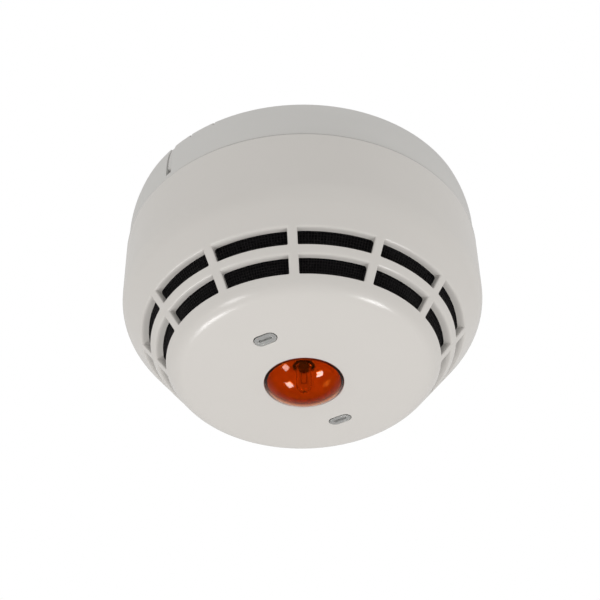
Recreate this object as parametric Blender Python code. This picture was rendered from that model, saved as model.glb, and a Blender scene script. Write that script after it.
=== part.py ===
"""Ceiling heat detector: a twist-off head with vents, thermistors and a signal lamp on a wired base.

Everything is written in millimetres and scaled to metres where a mesh is made.
The origin is the centre of the base's back face, which lies on the ceiling. +Z points up into the
ceiling, so the detector hangs towards -Z. A depth is a distance below the ceiling: z = -depth.
Angles run anticlockwise seen from above, in degrees from +X. One vent rib faces -Y.
"""

import math

import bmesh
import bpy
from mathutils import Matrix

MM = 0.001

# Overall form
BODY_RADIUS = 58.4          # straight wall of the head
BASE_HEIGHT = 15.2          # ceiling to the base's lower edge
HEAD_WALL_HEIGHT = 24.1     # head rim to the corner where the cone starts
CONE_HEIGHT = 23.7          # that corner to the corner where the face starts
FACE_RADIUS = 40.5          # corner between cone and face
FACE_DOME_RADIUS = 248.0    # the face is a shallow dome
SHOULDER_FILLET = 12.0
FACE_FILLET = 7.0

# Walls and clearances
COVER_WALL = 2.3
SEAM_GAP = 0.4              # base edge to head rim
CLEARANCE = 0.3             # between pieces that touch or slide
LOOSE = 0.5                 # between pieces that only lie near each other

# Base
BASE_STEP = 0.5             # how far the base stands inside the head's wall
BASE_DRAFT = 1.45           # how much narrower the base is at the ceiling
BASE_DRAFT_HEIGHT = 9.0
BASE_WALL = 2.85
BASE_EDGE_CHAMFER = 0.5
BACK_PLATE = 2.5
CABLE_ENTRY_LENGTH = 22.0
CABLE_ENTRY_WIDTH = 12.0
CABLE_ENTRY_OFFSET = 15.0
FIXING_SPACING = 60.0
FIXING_SLOT_LENGTH = 10.0
FIXING_SLOT_WIDTH = 5.0
KNOCKOUT_ANGLE = -120.0
KNOCKOUT_HALF_ANGLE = 4.6
KNOCKOUT_SLIT = 1.0
KNOCKOUT_DEPTH = 1.8
KNOCKOUT_CUT = 1.0          # how deep the marks go into the wall

# Bayonet
BAYONET_ANGLES = (30.0, 150.0, 270.0)
TWIST = 17.0                # degrees from locked to free
LUG_HALF_ANGLE = 6.5
HOOK_HALF_ANGLE = 8.0
STOP_ANGLE = 3.0
LUG_THICKNESS = 2.6
HOOK_THICKNESS = 2.6
HOOK_REACH = 6.5            # from the base's inner wall inwards
LUG_REACH = 7.6             # from the collar outwards
COLLAR_GAP = 2.55           # hooks to the collar inside them
COLLAR_WALL = 2.3
HOOK_ABOVE_EDGE = 2.2

# Terminals, on the base and on the head
TERMINAL_ANGLES = (45.0, 135.0, 225.0, 315.0)
TERMINAL_SETBACK = 7.7      # inside of the collar to the terminal screws' axes
BOSS_HEIGHT = 3.2
BOSS_LENGTH = 10.5
BOSS_WIDTH = 11.0
CONTACT_THICKNESS = 0.8
CONTACT_WIDTH = 8.0
CONTACT_PAD_HALF = 5.0
CONTACT_STEP = 2.5          # pad level to leaf level
CONTACT_REACH = 17.0        # screw's axis to the leaf's inner end
CLAMP_SIDE = 8.0
CLAMP_THICKNESS = 1.0
TERMINAL_SHANK_RADIUS = 1.4
TERMINAL_HEAD_RADIUS = 2.9
TERMINAL_HEAD_HEIGHT = 2.2
BORE_FLOOR = 1.3            # material left above each terminal screw
BLADE_INSET = 3.0           # leaf's inner end to the blade
BLADE_WIDTH = 6.0
BLADE_THICKNESS = 0.8

# Lock slide in the base wall
LOCK_ANGLE = -132.9
LOCK_SLOT_WIDTH = 2.4
LOCK_SLOT_END = 1.8         # from the end of the slot to the base's lower edge
LOCK_TRAVEL = 2.4
LOCK_STRIP_WIDTH = 5.0
LOCK_STRIP_THICKNESS = 1.5
LOCK_RECESS = 0.25
RAIL_THICKNESS = 1.2
RAIL_LIP = 1.3

# Chassis that closes the head
CHASSIS_PLATE = 2.0
CHASSIS_DROP = 0.8          # head rim to chassis plate
FINGER_ANGLES = (90.0, 210.0, 330.0)
FINGER_HALF_ANGLE = 5.0
FINGER_THICKNESS = 1.1
FINGER_LENGTH = 5.0
BEAD_HEIGHT = 0.8
BEAD_WIDTH = 1.0
BEAD_DROP = 5.0             # head rim to the snap bead inside the cover
POST_RADIUS = 2.9
POST_SHOULDER_RADIUS = 4.0
POST_SETBACK = 7.7          # inside of the collar to the chassis screws' axes
CHASSIS_SCREW_RADIUS = 1.2
CHASSIS_SCREW_HEAD_RADIUS = 2.6
CHASSIS_SCREW_HEAD = 1.7
CHASSIS_SCREW_LENGTH = 12.0

# Vents
VENT_COUNT = 12
RIB_WIDTH = 3.0
VENT_TOP_MARGIN = 8.7       # cone corner to the first row, measured down
VENT_BOTTOM_MARGIN = 4.0
VENT_BAR = 2.3
OUTER_ROW_SHARE = 0.47      # of the height left for the two rows
SCREEN_GAP = 0.5
SCREEN_THICKNESS = 0.6
SCREEN_OVERLAP = 0.6

# Sensor deck and circuit boards
DECK_DROP = 5.3             # cone corner to the deck's upper side
DECK_THICKNESS = 1.6
WELL_RADIUS = 34.6
WELL_WALL = 1.6
WELL_LEDGE = 1.5
BOARD_THICKNESS = 1.6
BOARD_ABOVE_DECK = 5.4
BOARD_EDGE_GAP = 8.0
FRONT_BOARD_SETBACK = 9.4   # board's upper side to the inside of the face
HEADER_LENGTH = 10.0
HEADER_WIDTH = 4.0
THERMISTOR_STEM_RADIUS = 0.7
THERMISTOR_BEAD_RADIUS = 1.5
THERMISTOR_BEAD_LENGTH = 4.4
CHIP_SIDE = 12.0
CHIP_HEIGHT = 1.6
CHIP_OFFSET = 11.0
CAPACITOR_RADIUS = 4.0
CAPACITOR_HEIGHT = 12.0
CAPACITOR_OFFSETS = (-20.0, -30.0)

# Signal lamp and its lens
LENS_RADIUS = 12.2
LENS_RISE = 5.0
LENS_WALL = 0.7
LENS_FLANGE = 2.4
LENS_FLANGE_THICKNESS = 1.2
GASKET_THICKNESS = 0.6
REFLECTOR_WALL = 0.9
REFLECTOR_LIP = 0.25
REFLECTOR_SETBACK = 0.5     # lens rim to the bowl's lip
REFLECTOR_DEPTH = 6.0
REFLECTOR_APERTURE = 3.6
LAMP_RADIUS = 2.5
LAMP_GLASS_WALL = 0.4
LAMP_TIP_GAP = 0.4          # bulb tip to the inside of the lens
LAMP_STEM_RADIUS = 1.5
LAMP_STEM_LENGTH = 2.0
LAMP_BASE_RISE = 1.0        # how far the lamp's base stands out of its holder
HOLDER_WALL = 2.0
FILAMENT_RADIUS = 0.16
FILAMENT_SPREAD = 0.85
FILAMENT_DROP = 4.6

# Status indicators: clear light guides with an LED behind each
INDICATOR_ANGLES = (-116.0, 64.0)
INDICATOR_CIRCLE = 23.6
GUIDE_LENGTH = 7.2
GUIDE_WIDTH = 3.7
GUIDE_FLANGE = 1.2
GUIDE_FLANGE_THICKNESS = 1.1
LED_LENGTH = 3.2
LED_WIDTH = 2.0
LED_HEIGHT = 1.3

# Facets
FORM_STEPS = 48
MEDIUM_STEPS = 24
SMALL_STEPS = 12
FILLET_STEPS = 3

# Levels, as depths below the ceiling
HEAD_RIM = BASE_HEIGHT + SEAM_GAP
SHOULDER = HEAD_RIM + HEAD_WALL_HEIGHT
FACE_CORNER = SHOULDER + CONE_HEIGHT
FACE_APEX = FACE_CORNER + FACE_DOME_RADIUS - math.sqrt(FACE_DOME_RADIUS ** 2 - FACE_RADIUS ** 2)
CHASSIS_TOP = HEAD_RIM + CHASSIS_DROP
CHASSIS_BOTTOM = CHASSIS_TOP + CHASSIS_PLATE
HOOK_BOTTOM = BASE_HEIGHT - HOOK_ABOVE_EDGE
HOOK_TOP = HOOK_BOTTOM - HOOK_THICKNESS
LUG_BOTTOM = HOOK_TOP - CLEARANCE
LUG_TOP = LUG_BOTTOM - LUG_THICKNESS
BOSS_FACE = BACK_PLATE + BOSS_HEIGHT
PAD_TOP = BOSS_FACE + CLEARANCE
PAD_BOTTOM = PAD_TOP + CONTACT_THICKNESS
LEAF_BOTTOM = PAD_BOTTOM + CONTACT_STEP
CLAMP_TOP = PAD_BOTTOM + CLEARANCE
CLAMP_BOTTOM = CLAMP_TOP + CLAMP_THICKNESS
TERMINAL_HEAD_TOP = CLAMP_BOTTOM + CLEARANCE
DECK_TOP = SHOULDER + DECK_DROP
DECK_BOTTOM = DECK_TOP + DECK_THICKNESS
MAIN_BOARD_BOTTOM = DECK_TOP - BOARD_ABOVE_DECK
MAIN_BOARD_TOP = MAIN_BOARD_BOTTOM - BOARD_THICKNESS
FRONT_BOARD_TOP = FACE_APEX - COVER_WALL - FRONT_BOARD_SETBACK
FRONT_BOARD_BOTTOM = FRONT_BOARD_TOP + BOARD_THICKNESS
VENT_HEIGHT = CONE_HEIGHT - VENT_TOP_MARGIN - VENT_BOTTOM_MARGIN - VENT_BAR
ROW_1_TOP = SHOULDER + VENT_TOP_MARGIN
ROW_1_BOTTOM = ROW_1_TOP + VENT_HEIGHT * OUTER_ROW_SHARE
ROW_2_TOP = ROW_1_BOTTOM + VENT_BAR
ROW_2_BOTTOM = FACE_CORNER - VENT_BOTTOM_MARGIN

# Radii that follow from the walls
BASE_RADIUS = BODY_RADIUS - BASE_STEP
BASE_INNER = BASE_RADIUS - BASE_WALL
COLLAR_RADIUS = BASE_INNER - HOOK_REACH - COLLAR_GAP
COLLAR_INNER = COLLAR_RADIUS - COLLAR_WALL
TERMINAL_RADIUS = COLLAR_INNER - TERMINAL_SETBACK
CONTACT_INNER_RADIUS = TERMINAL_RADIUS - CONTACT_REACH
BLADE_INNER_RADIUS = CONTACT_INNER_RADIUS + BLADE_INSET
POST_CIRCLE = COLLAR_INNER - POST_SETBACK
COVER_INNER = BODY_RADIUS - COVER_WALL
CONE_SLOPE = (BODY_RADIUS - FACE_RADIUS) / CONE_HEIGHT
LENS_HOLE = LENS_RADIUS + CLEARANCE
LENS_RIM = FACE_APEX - FACE_DOME_RADIUS + math.sqrt(FACE_DOME_RADIUS ** 2 - LENS_HOLE ** 2)
LENS_DOME_RADIUS = (LENS_RADIUS ** 2 + LENS_RISE ** 2) / (2 * LENS_RISE)


def face_depth(radius, inset=0.0):
    """Depth of the face dome at a radius, or of the surface that lies inset above it."""
    dome = FACE_DOME_RADIUS - inset
    return FACE_APEX - FACE_DOME_RADIUS + math.sqrt(dome ** 2 - radius ** 2)


def cone_radius(depth, inset=0.0):
    """Radius of the cone at a depth, or of the surface that lies inset inside it."""
    return BODY_RADIUS - (depth - SHOULDER) * CONE_SLOPE - inset * math.hypot(1.0, CONE_SLOPE)


# The thermistor beads hang midway between the well and the screen, level with the bar between the rows.
BEAD_LEVEL = (ROW_1_BOTTOM + ROW_2_TOP) / 2
SCREEN_INSET = COVER_WALL + SCREEN_GAP + SCREEN_THICKNESS
THERMISTOR_CIRCLE = (WELL_RADIUS + cone_radius(BEAD_LEVEL, SCREEN_INSET)) / 2


# Materials

def material(name, colour, roughness, metallic=0.0):
    """Principled material, made once and then shared by name."""
    found = bpy.data.materials.get(name)
    if found:
        return found
    made = bpy.data.materials.new(name)
    made.use_nodes = True
    shader = made.node_tree.nodes["Principled BSDF"]
    shader.inputs["Base Color"].default_value = (*colour, 1.0)
    shader.inputs["Roughness"].default_value = roughness
    shader.inputs["Metallic"].default_value = metallic
    made.diffuse_color = (*colour, 1.0)
    return made


FINISHES = {
    "white_shell": ((0.62, 0.60, 0.57), 0.35, 0.0),
    "base_white": ((0.56, 0.55, 0.53), 0.42, 0.0),
    "inner_moulding": ((0.50, 0.49, 0.46), 0.5, 0.0),
    "black_screen": ((0.012, 0.011, 0.011), 0.6, 0.0),
    "board_green": ((0.02, 0.14, 0.05), 0.45, 0.0),
    "black_plastic": ((0.02, 0.02, 0.02), 0.45, 0.0),
    "plated_brass": ((0.62, 0.50, 0.26), 0.3, 1.0),
    "zinc_steel": ((0.62, 0.63, 0.65), 0.32, 1.0),
    "amber_lens": ((0.62, 0.09, 0.012), 0.06, 0.0),
    "white_coat": ((0.82, 0.80, 0.78), 0.30, 0.0),
    "clear_glass": ((0.95, 0.95, 0.95), 0.03, 0.0),
    "tungsten": ((0.25, 0.24, 0.24), 0.4, 1.0),
    "clear_guide": ((0.85, 0.87, 0.87), 0.1, 0.0),
    "capacitor_sleeve": ((0.03, 0.04, 0.10), 0.35, 0.0),
    "led_body": ((0.55, 0.05, 0.04), 0.25, 0.0),
    "gasket_rubber": ((0.02, 0.02, 0.02), 0.7, 0.0),
    "thermistor_epoxy": ((0.02, 0.05, 0.02), 0.3, 0.0),
}


# Mesh helpers: plans are in millimetres and degrees, with depths below the ceiling

def polar(radius, angle):
    """Plan point at a radius and an angle."""
    turn = math.radians(angle)
    return radius * math.cos(turn), radius * math.sin(turn)


def add_object(name, build, finish, smooth_angle=30.0):
    """Object from a bmesh in millimetres, scaled to metres, closed and facing out."""
    bmesh.ops.recalc_face_normals(build, faces=build.faces)
    bmesh.ops.scale(build, vec=(MM, MM, MM), verts=build.verts)
    mesh = bpy.data.meshes.new(name)
    build.to_mesh(mesh)
    build.free()
    mesh.shade_smooth()
    mesh.set_sharp_from_angle(angle=math.radians(smooth_angle))
    made = bpy.data.objects.new(name, mesh)
    bpy.context.scene.collection.objects.link(made)
    if finish:
        mesh.materials.append(material(finish, *FINISHES[finish]))
    return made


def spin_profile(build, profile, steps, closed, start=-90.0):
    """Turn a profile of (radius, depth) points about the vertical axis."""
    verts = []
    for radius, depth in profile:
        x, y = polar(radius, start)
        verts.append(build.verts.new((x, y, -depth)))
    pairs = list(zip(verts, verts[1:]))
    if closed:
        pairs.append((verts[-1], verts[0]))
    edges = [build.edges.new(pair) for pair in pairs]
    bmesh.ops.spin(build, geom=verts + edges, cent=(0, 0, 0), axis=(0, 0, 1), angle=2 * math.pi,
                   steps=steps, use_merge=True, use_duplicate=False)
    on_axis = [v for v in build.verts if math.hypot(v.co.x, v.co.y) < 1e-4]
    bmesh.ops.remove_doubles(build, verts=on_axis, dist=1e-3)


def turned_ring(name, profile, finish, steps=FORM_STEPS):
    """Ring turned from a closed profile that stays off the axis."""
    build = bmesh.new()
    spin_profile(build, profile, steps, True)
    return add_object(name, build, finish)


def turned_solid(name, profile, finish, steps=SMALL_STEPS, place=(0.0, 0.0)):
    """Solid turned from a profile that starts and ends on the axis, set at a plan point."""
    build = bmesh.new()
    spin_profile(build, profile, steps, False)
    bmesh.ops.translate(build, vec=(place[0], place[1], 0.0), verts=build.verts)
    return add_object(name, build, finish)


def stack_outlines(build, levels):
    """Closed body through outlines with one point count, given as (outline, depth)."""
    rings = []
    for outline, depth in levels:
        rings.append([build.verts.new((x, y, -depth)) for x, y in outline])
    for upper, lower in zip(rings, rings[1:]):
        for index in range(len(upper)):
            following = (index + 1) % len(upper)
            build.faces.new((upper[index], upper[following], lower[following], lower[index]))
    build.faces.new(rings[0][::-1])
    build.faces.new(rings[-1])


def turn_outline(outline, angle, offset=(0.0, 0.0)):
    """Outline turned about the vertical axis after it is moved by the offset."""
    cosine, sine = math.cos(math.radians(angle)), math.sin(math.radians(angle))
    moved = [(x + offset[0], y + offset[1]) for x, y in outline]
    return [(x * cosine - y * sine, x * sine + y * cosine) for x, y in moved]


def rectangle(length, width):
    """Rectangle about its centre."""
    return [(-length / 2, -width / 2), (length / 2, -width / 2),
            (length / 2, width / 2), (-length / 2, width / 2)]


def circle(radius, steps=SMALL_STEPS):
    """Circle about its centre."""
    return [polar(radius, 360.0 * index / steps) for index in range(steps)]


def stadium(length, width, steps=6):
    """Stadium about its centre, with its long way along X."""
    reach = (length - width) / 2
    points = []
    for side, first in ((1, -90.0), (-1, 90.0)):
        for index in range(steps + 1):
            x, y = polar(width / 2, first + 180.0 * index / steps)
            points.append((x + side * reach, y))
    return points


def sector(inner, outer, first, last, steps=4):
    """Outline of a ring's sector between two angles."""
    angles = [first + (last - first) * index / steps for index in range(steps + 1)]
    return [polar(outer, angle) for angle in angles] + [polar(inner, angle) for angle in reversed(angles)]


def prism(build, outline, top, bottom):
    """Straight prism between two depths."""
    stack_outlines(build, [(outline, top), (outline, bottom)])


def combine(target, build, operation, label):
    """Boolean of a target with the bodies in a bmesh, kept as a hidden guide object."""
    guide = add_object(target.name + "_" + label, build, None)
    guide.hide_render = True
    guide.display_type = "WIRE"
    modifier = target.modifiers.new(label, "BOOLEAN")
    modifier.operation = operation
    modifier.solver = "EXACT"
    modifier.use_self = operation == "UNION"
    modifier.object = guide


def fillet(corner, before, after, radius, steps=FILLET_STEPS):
    """Arc of a radius that rounds a corner between two points."""
    to_before = (before[0] - corner[0], before[1] - corner[1])
    to_after = (after[0] - corner[0], after[1] - corner[1])
    first = math.atan2(to_before[1], to_before[0])
    second = math.atan2(to_after[1], to_after[0])
    spread = (second - first + math.pi) % (2 * math.pi) - math.pi
    half = abs(spread) / 2
    middle = first + spread / 2
    centre = (corner[0] + radius / math.sin(half) * math.cos(middle),
              corner[1] + radius / math.sin(half) * math.sin(middle))
    sweep = math.pi - 2 * half
    points = []
    for index in range(steps + 1):
        share = index / steps - 0.5
        angle = middle + math.pi - math.copysign(sweep, spread) * share
        points.append((centre[0] + radius * math.cos(angle), centre[1] + radius * math.sin(angle)))
    return points


# Head cover

def form_corners(inset):
    """Wall, cone and face of the head at an inset: the shoulder and face corners."""
    wall = BODY_RADIUS - inset
    face_slope = -FACE_RADIUS / (FACE_DOME_RADIUS - (FACE_APEX - FACE_CORNER))
    cone_shift = inset * math.hypot(1.0, CONE_SLOPE)
    shoulder = SHOULDER + (BODY_RADIUS - cone_shift - wall) / CONE_SLOPE
    face_shift = inset * math.hypot(1.0, face_slope)
    # The cone line and the face line meet where both give the same depth.
    run = (cone_shift - face_shift * CONE_SLOPE) / (1.0 + face_slope * CONE_SLOPE)
    radius = FACE_RADIUS - run
    depth = FACE_CORNER - face_shift - face_slope * run
    return (wall, shoulder), (radius, depth)


def form_outline(inset, rim, hole):
    """Wall, shoulder, cone, fillet and dome of the head, from rim to the lens hole."""
    shoulder, corner = form_corners(inset)
    inward = (corner[0] - FACE_FILLET, face_depth(corner[0] - FACE_FILLET, inset))
    points = [(shoulder[0], rim)]
    points += fillet(shoulder, points[0], corner, SHOULDER_FILLET - inset)
    points += fillet(corner, shoulder, inward, FACE_FILLET - inset)
    first = points[-1][0]
    for share in (0.3, 0.65, 1.0):
        radius = first + (hole - first) * share
        points.append((radius, face_depth(radius, inset)))
    return points


def vent_cutters(build):
    """Twelve slots in each of two rows, with ribs of one width between them."""
    pitch = 360.0 / VENT_COUNT
    half_rib = RIB_WIDTH / 2
    near = FACE_RADIUS - 3 * COVER_WALL
    far = BODY_RADIUS * 1.2
    for index in range(VENT_COUNT):
        first = -90.0 + index * pitch
        left = turn_outline([(near, half_rib), (far, half_rib)], first)
        right = turn_outline([(far, -half_rib), (near, -half_rib)], first + pitch)
        for top, bottom in ((ROW_1_TOP, ROW_1_BOTTOM), (ROW_2_TOP, ROW_2_BOTTOM)):
            prism(build, left + right, top, bottom)


def guide_outline(angle, grow=0.0):
    """Outline of one light guide across its radius, grown by a clearance."""
    outline = [(y, x) for x, y in stadium(GUIDE_LENGTH + 2 * grow, GUIDE_WIDTH + 2 * grow)]
    return turn_outline(outline, angle, (INDICATOR_CIRCLE, 0.0))


def make_head_cover():
    """Outer shell of the head: wall, vented cone and domed face, with a snap bead inside."""
    outer = form_outline(0.0, HEAD_RIM + BASE_STEP, LENS_HOLE)
    inner = form_outline(COVER_WALL, HEAD_RIM, LENS_HOLE)
    bead = HEAD_RIM + BEAD_DROP
    bead_points = [(COVER_INNER, bead - BEAD_WIDTH), (COVER_INNER - BEAD_HEIGHT, bead - BEAD_WIDTH / 2),
                   (COVER_INNER - BEAD_HEIGHT, bead + BEAD_WIDTH / 2), (COVER_INNER, bead + BEAD_WIDTH)]
    rim = [(COVER_INNER, HEAD_RIM), (BODY_RADIUS - BASE_STEP, HEAD_RIM)]
    profile = rim + outer + inner[:0:-1] + bead_points[::-1]
    cover = turned_ring("head_cover", profile, "white_shell")
    cutters = bmesh.new()
    vent_cutters(cutters)
    for angle in INDICATOR_ANGLES:
        prism(cutters, guide_outline(angle, CLEARANCE), FACE_CORNER - 3 * COVER_WALL, FACE_APEX + COVER_WALL)
    combine(cover, cutters, "DIFFERENCE", "openings")


def make_vent_screen():
    """Insect screen: a thin cone just behind the vents."""
    outer = COVER_WALL + SCREEN_GAP
    inner = SCREEN_INSET
    top = DECK_BOTTOM + CLEARANCE
    bottom = ROW_2_BOTTOM + SCREEN_OVERLAP
    profile = [(cone_radius(top, inner), top), (cone_radius(top, outer), top),
               (cone_radius(bottom, outer), bottom), (cone_radius(bottom, inner), bottom)]
    turned_ring("vent_screen", profile, "black_screen")


# Base

def base_radius(depth):
    """Outer radius of the base, which narrows towards the ceiling in a soft curve."""
    share = max(0.0, 1.0 - depth / BASE_DRAFT_HEIGHT)
    return BASE_RADIUS - BASE_DRAFT * share ** 2


def bayonet_hooks(build):
    """Three hooks on the base's wall, each with a stop at its far end."""
    inner = BASE_INNER - HOOK_REACH
    outer = BASE_INNER + BASE_WALL / 2
    for angle in BAYONET_ANGLES:
        stop = angle + LUG_HALF_ANGLE + 0.5
        prism(build, sector(inner, outer, angle - HOOK_HALF_ANGLE, stop), HOOK_TOP, HOOK_BOTTOM)
        prism(build, sector(inner, outer, stop - 0.01, stop + STOP_ANGLE, 2), LUG_TOP, HOOK_BOTTOM)


def lock_rails(build):
    """Two rails that hold the lock slide against the inside of the wall."""
    seat = LOCK_STRIP_WIDTH / 2 + CLEARANCE
    back = BASE_INNER - LOCK_STRIP_THICKNESS - 2 * CLEARANCE
    root = BASE_INNER + BASE_WALL / 3
    lip = back - RAIL_THICKNESS
    for side in (1, -1):
        outline = [(root, seat), (back, seat), (back, seat - RAIL_LIP), (lip, seat - RAIL_LIP),
                   (lip, seat + RAIL_THICKNESS), (root, seat + RAIL_THICKNESS)]
        outline = [(x, side * y) for x, y in outline]
        prism(build, turn_outline(outline, LOCK_ANGLE), BACK_PLATE / 2, BASE_HEIGHT - LOCK_SLOT_END)


def make_base_shell():
    """Base moulding: back plate, drafted wall, bayonet hooks, terminal bosses and lock rails."""
    draft_steps = 4
    outer = []
    for index in range(draft_steps + 1):
        depth = BASE_DRAFT_HEIGHT * index / draft_steps
        outer.append((base_radius(depth), depth))
    edge = BASE_HEIGHT - BASE_EDGE_CHAMFER
    profile = [(0.0, 0.0)] + outer + [(BASE_RADIUS, edge), (BASE_RADIUS - BASE_EDGE_CHAMFER, BASE_HEIGHT),
                                      (BASE_INNER, BASE_HEIGHT), (BASE_INNER, BACK_PLATE), (0.0, BACK_PLATE)]
    base = turned_solid("base_shell", profile, "base_white", FORM_STEPS)

    joined = bmesh.new()
    bayonet_hooks(joined)
    lock_rails(joined)
    for angle in TERMINAL_ANGLES:
        outline = turn_outline(rectangle(BOSS_LENGTH, BOSS_WIDTH), angle, (TERMINAL_RADIUS, 0.0))
        prism(joined, outline, BACK_PLATE / 2, BOSS_FACE)
    combine(base, joined, "UNION", "fittings")

    cutters = bmesh.new()
    for side in (1, -1):
        entry = [(x, y + side * CABLE_ENTRY_OFFSET) for x, y in stadium(CABLE_ENTRY_LENGTH, CABLE_ENTRY_WIDTH)]
        prism(cutters, entry, -BACK_PLATE, 2 * BACK_PLATE)
        slot = [(x + side * FIXING_SPACING / 2, y) for x, y in stadium(FIXING_SLOT_LENGTH, FIXING_SLOT_WIDTH)]
        prism(cutters, slot, -BACK_PLATE, 2 * BACK_PLATE)
    for angle in TERMINAL_ANGLES:
        bore = turn_outline(circle(TERMINAL_SHANK_RADIUS + CLEARANCE), angle, (TERMINAL_RADIUS, 0.0))
        prism(cutters, bore, BORE_FLOOR, BOSS_FACE + BACK_PLATE)
    reach = BASE_WALL * 2
    slot_inner = BASE_INNER - LOCK_STRIP_THICKNESS / 2 - 2 * CLEARANCE
    lock_slot = turn_outline(rectangle(reach, LOCK_SLOT_WIDTH), LOCK_ANGLE, (slot_inner + reach / 2, 0.0))
    prism(cutters, lock_slot, -BACK_PLATE, BASE_HEIGHT - LOCK_SLOT_END)
    mark_inner = base_radius(0.0) - KNOCKOUT_CUT
    for side in (1, -1):
        mark = turn_outline(rectangle(reach, KNOCKOUT_SLIT), KNOCKOUT_ANGLE + side * KNOCKOUT_HALF_ANGLE,
                            (mark_inner + reach / 2, 0.0))
        prism(cutters, mark, -BACK_PLATE, KNOCKOUT_DEPTH)
    combine(base, cutters, "DIFFERENCE", "cuts")


def make_base_contact(number, angle):
    """Stamped contact: a screw pad, a step and the leaf that the head's blade meets."""
    outer = TERMINAL_RADIUS + CONTACT_PAD_HALF
    step = TERMINAL_RADIUS - CONTACT_PAD_HALF
    inner = CONTACT_INNER_RADIUS
    side = [(outer, PAD_TOP), (outer, PAD_BOTTOM), (step, PAD_BOTTOM), (step, LEAF_BOTTOM),
            (inner, LEAF_BOTTOM), (inner, LEAF_BOTTOM - CONTACT_THICKNESS),
            (step - CONTACT_THICKNESS, LEAF_BOTTOM - CONTACT_THICKNESS), (step - CONTACT_THICKNESS, PAD_TOP)]
    build = bmesh.new()
    half = CONTACT_WIDTH / 2
    near = [build.verts.new((radius, -half, -depth)) for radius, depth in side]
    far = [build.verts.new((radius, half, -depth)) for radius, depth in side]
    for index in range(len(side)):
        following = (index + 1) % len(side)
        build.faces.new((near[index], near[following], far[following], far[index]))
    build.faces.new(near[::-1])
    build.faces.new(far)
    bmesh.ops.rotate(build, cent=(0, 0, 0), matrix=Matrix.Rotation(math.radians(angle), 3, "Z"),
                     verts=build.verts)
    contact = add_object(f"base_contact_{number}", build, "plated_brass")
    hole = bmesh.new()
    outline = turn_outline(circle(TERMINAL_SHANK_RADIUS + CLEARANCE), angle, (TERMINAL_RADIUS, 0.0))
    prism(hole, outline, PAD_TOP - CLAMP_THICKNESS, PAD_BOTTOM + CLAMP_THICKNESS)
    combine(contact, hole, "DIFFERENCE", "hole")


def make_clamp_plate(number, angle):
    """Square wire clamp under a terminal screw's head."""
    build = bmesh.new()
    prism(build, turn_outline(rectangle(CLAMP_SIDE, CLAMP_SIDE), angle, (TERMINAL_RADIUS, 0.0)),
          CLAMP_TOP, CLAMP_BOTTOM)
    clamp = add_object(f"clamp_plate_{number}", build, "zinc_steel")
    hole = bmesh.new()
    outline = turn_outline(circle(TERMINAL_SHANK_RADIUS + CLEARANCE), angle, (TERMINAL_RADIUS, 0.0))
    prism(hole, outline, CLAMP_TOP - CLAMP_THICKNESS, CLAMP_BOTTOM + CLAMP_THICKNESS)
    combine(clamp, hole, "DIFFERENCE", "hole")


def make_screw(name, place, turn, shank_tip, head_top, shank_radius, head_radius, head_height):
    """Pan-head screw with its head down or up, and a driver slot across the head."""
    facing = 1.0 if shank_tip < head_top else -1.0
    head_end = head_top + facing * head_height
    chamfer = head_height * 0.35
    profile = [(0.0, shank_tip), (shank_radius, shank_tip), (shank_radius, head_top), (head_radius, head_top),
               (head_radius, head_end - facing * chamfer), (head_radius - chamfer, head_end), (0.0, head_end)]
    screw = turned_solid(name, profile, "zinc_steel", SMALL_STEPS, place)
    slot = bmesh.new()
    outline = turn_outline(rectangle(3 * head_radius, head_radius * 0.3), turn)
    outline = [(x + place[0], y + place[1]) for x, y in outline]
    prism(slot, outline, head_end - facing * head_height * 0.45, head_end + facing * head_height)
    combine(screw, slot, "DIFFERENCE", "slot")


def make_lock_slide():
    """Slide in the base's wall whose toe drops into the chassis and stops the head turning."""
    top = BACK_PLATE + LOOSE
    back = BASE_INNER - CLEARANCE
    build = bmesh.new()
    strip = turn_outline(rectangle(LOCK_STRIP_THICKNESS, LOCK_STRIP_WIDTH), LOCK_ANGLE,
                         (back - LOCK_STRIP_THICKNESS / 2, 0.0))
    prism(build, strip, top, CHASSIS_TOP - LOOSE)
    slide = add_object("lock_slide", build, "base_white")
    pad = bmesh.new()
    root = back - LOCK_STRIP_THICKNESS / 2
    pad_end = BASE_HEIGHT - LOCK_SLOT_END - LOCK_TRAVEL - CLEARANCE
    levels = []
    for share in (0.0, 0.3, 0.6, 1.0):
        depth = LOOSE + (pad_end - LOOSE) * share
        reach = base_radius(depth) - LOCK_RECESS - root
        outline = turn_outline(rectangle(reach, LOCK_SLOT_WIDTH - 2 * CLEARANCE), LOCK_ANGLE,
                               (root + reach / 2, 0.0))
        levels.append((outline, depth))
    stack_outlines(pad, levels)
    combine(slide, pad, "UNION", "pad")


# Head chassis and what it carries

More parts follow.
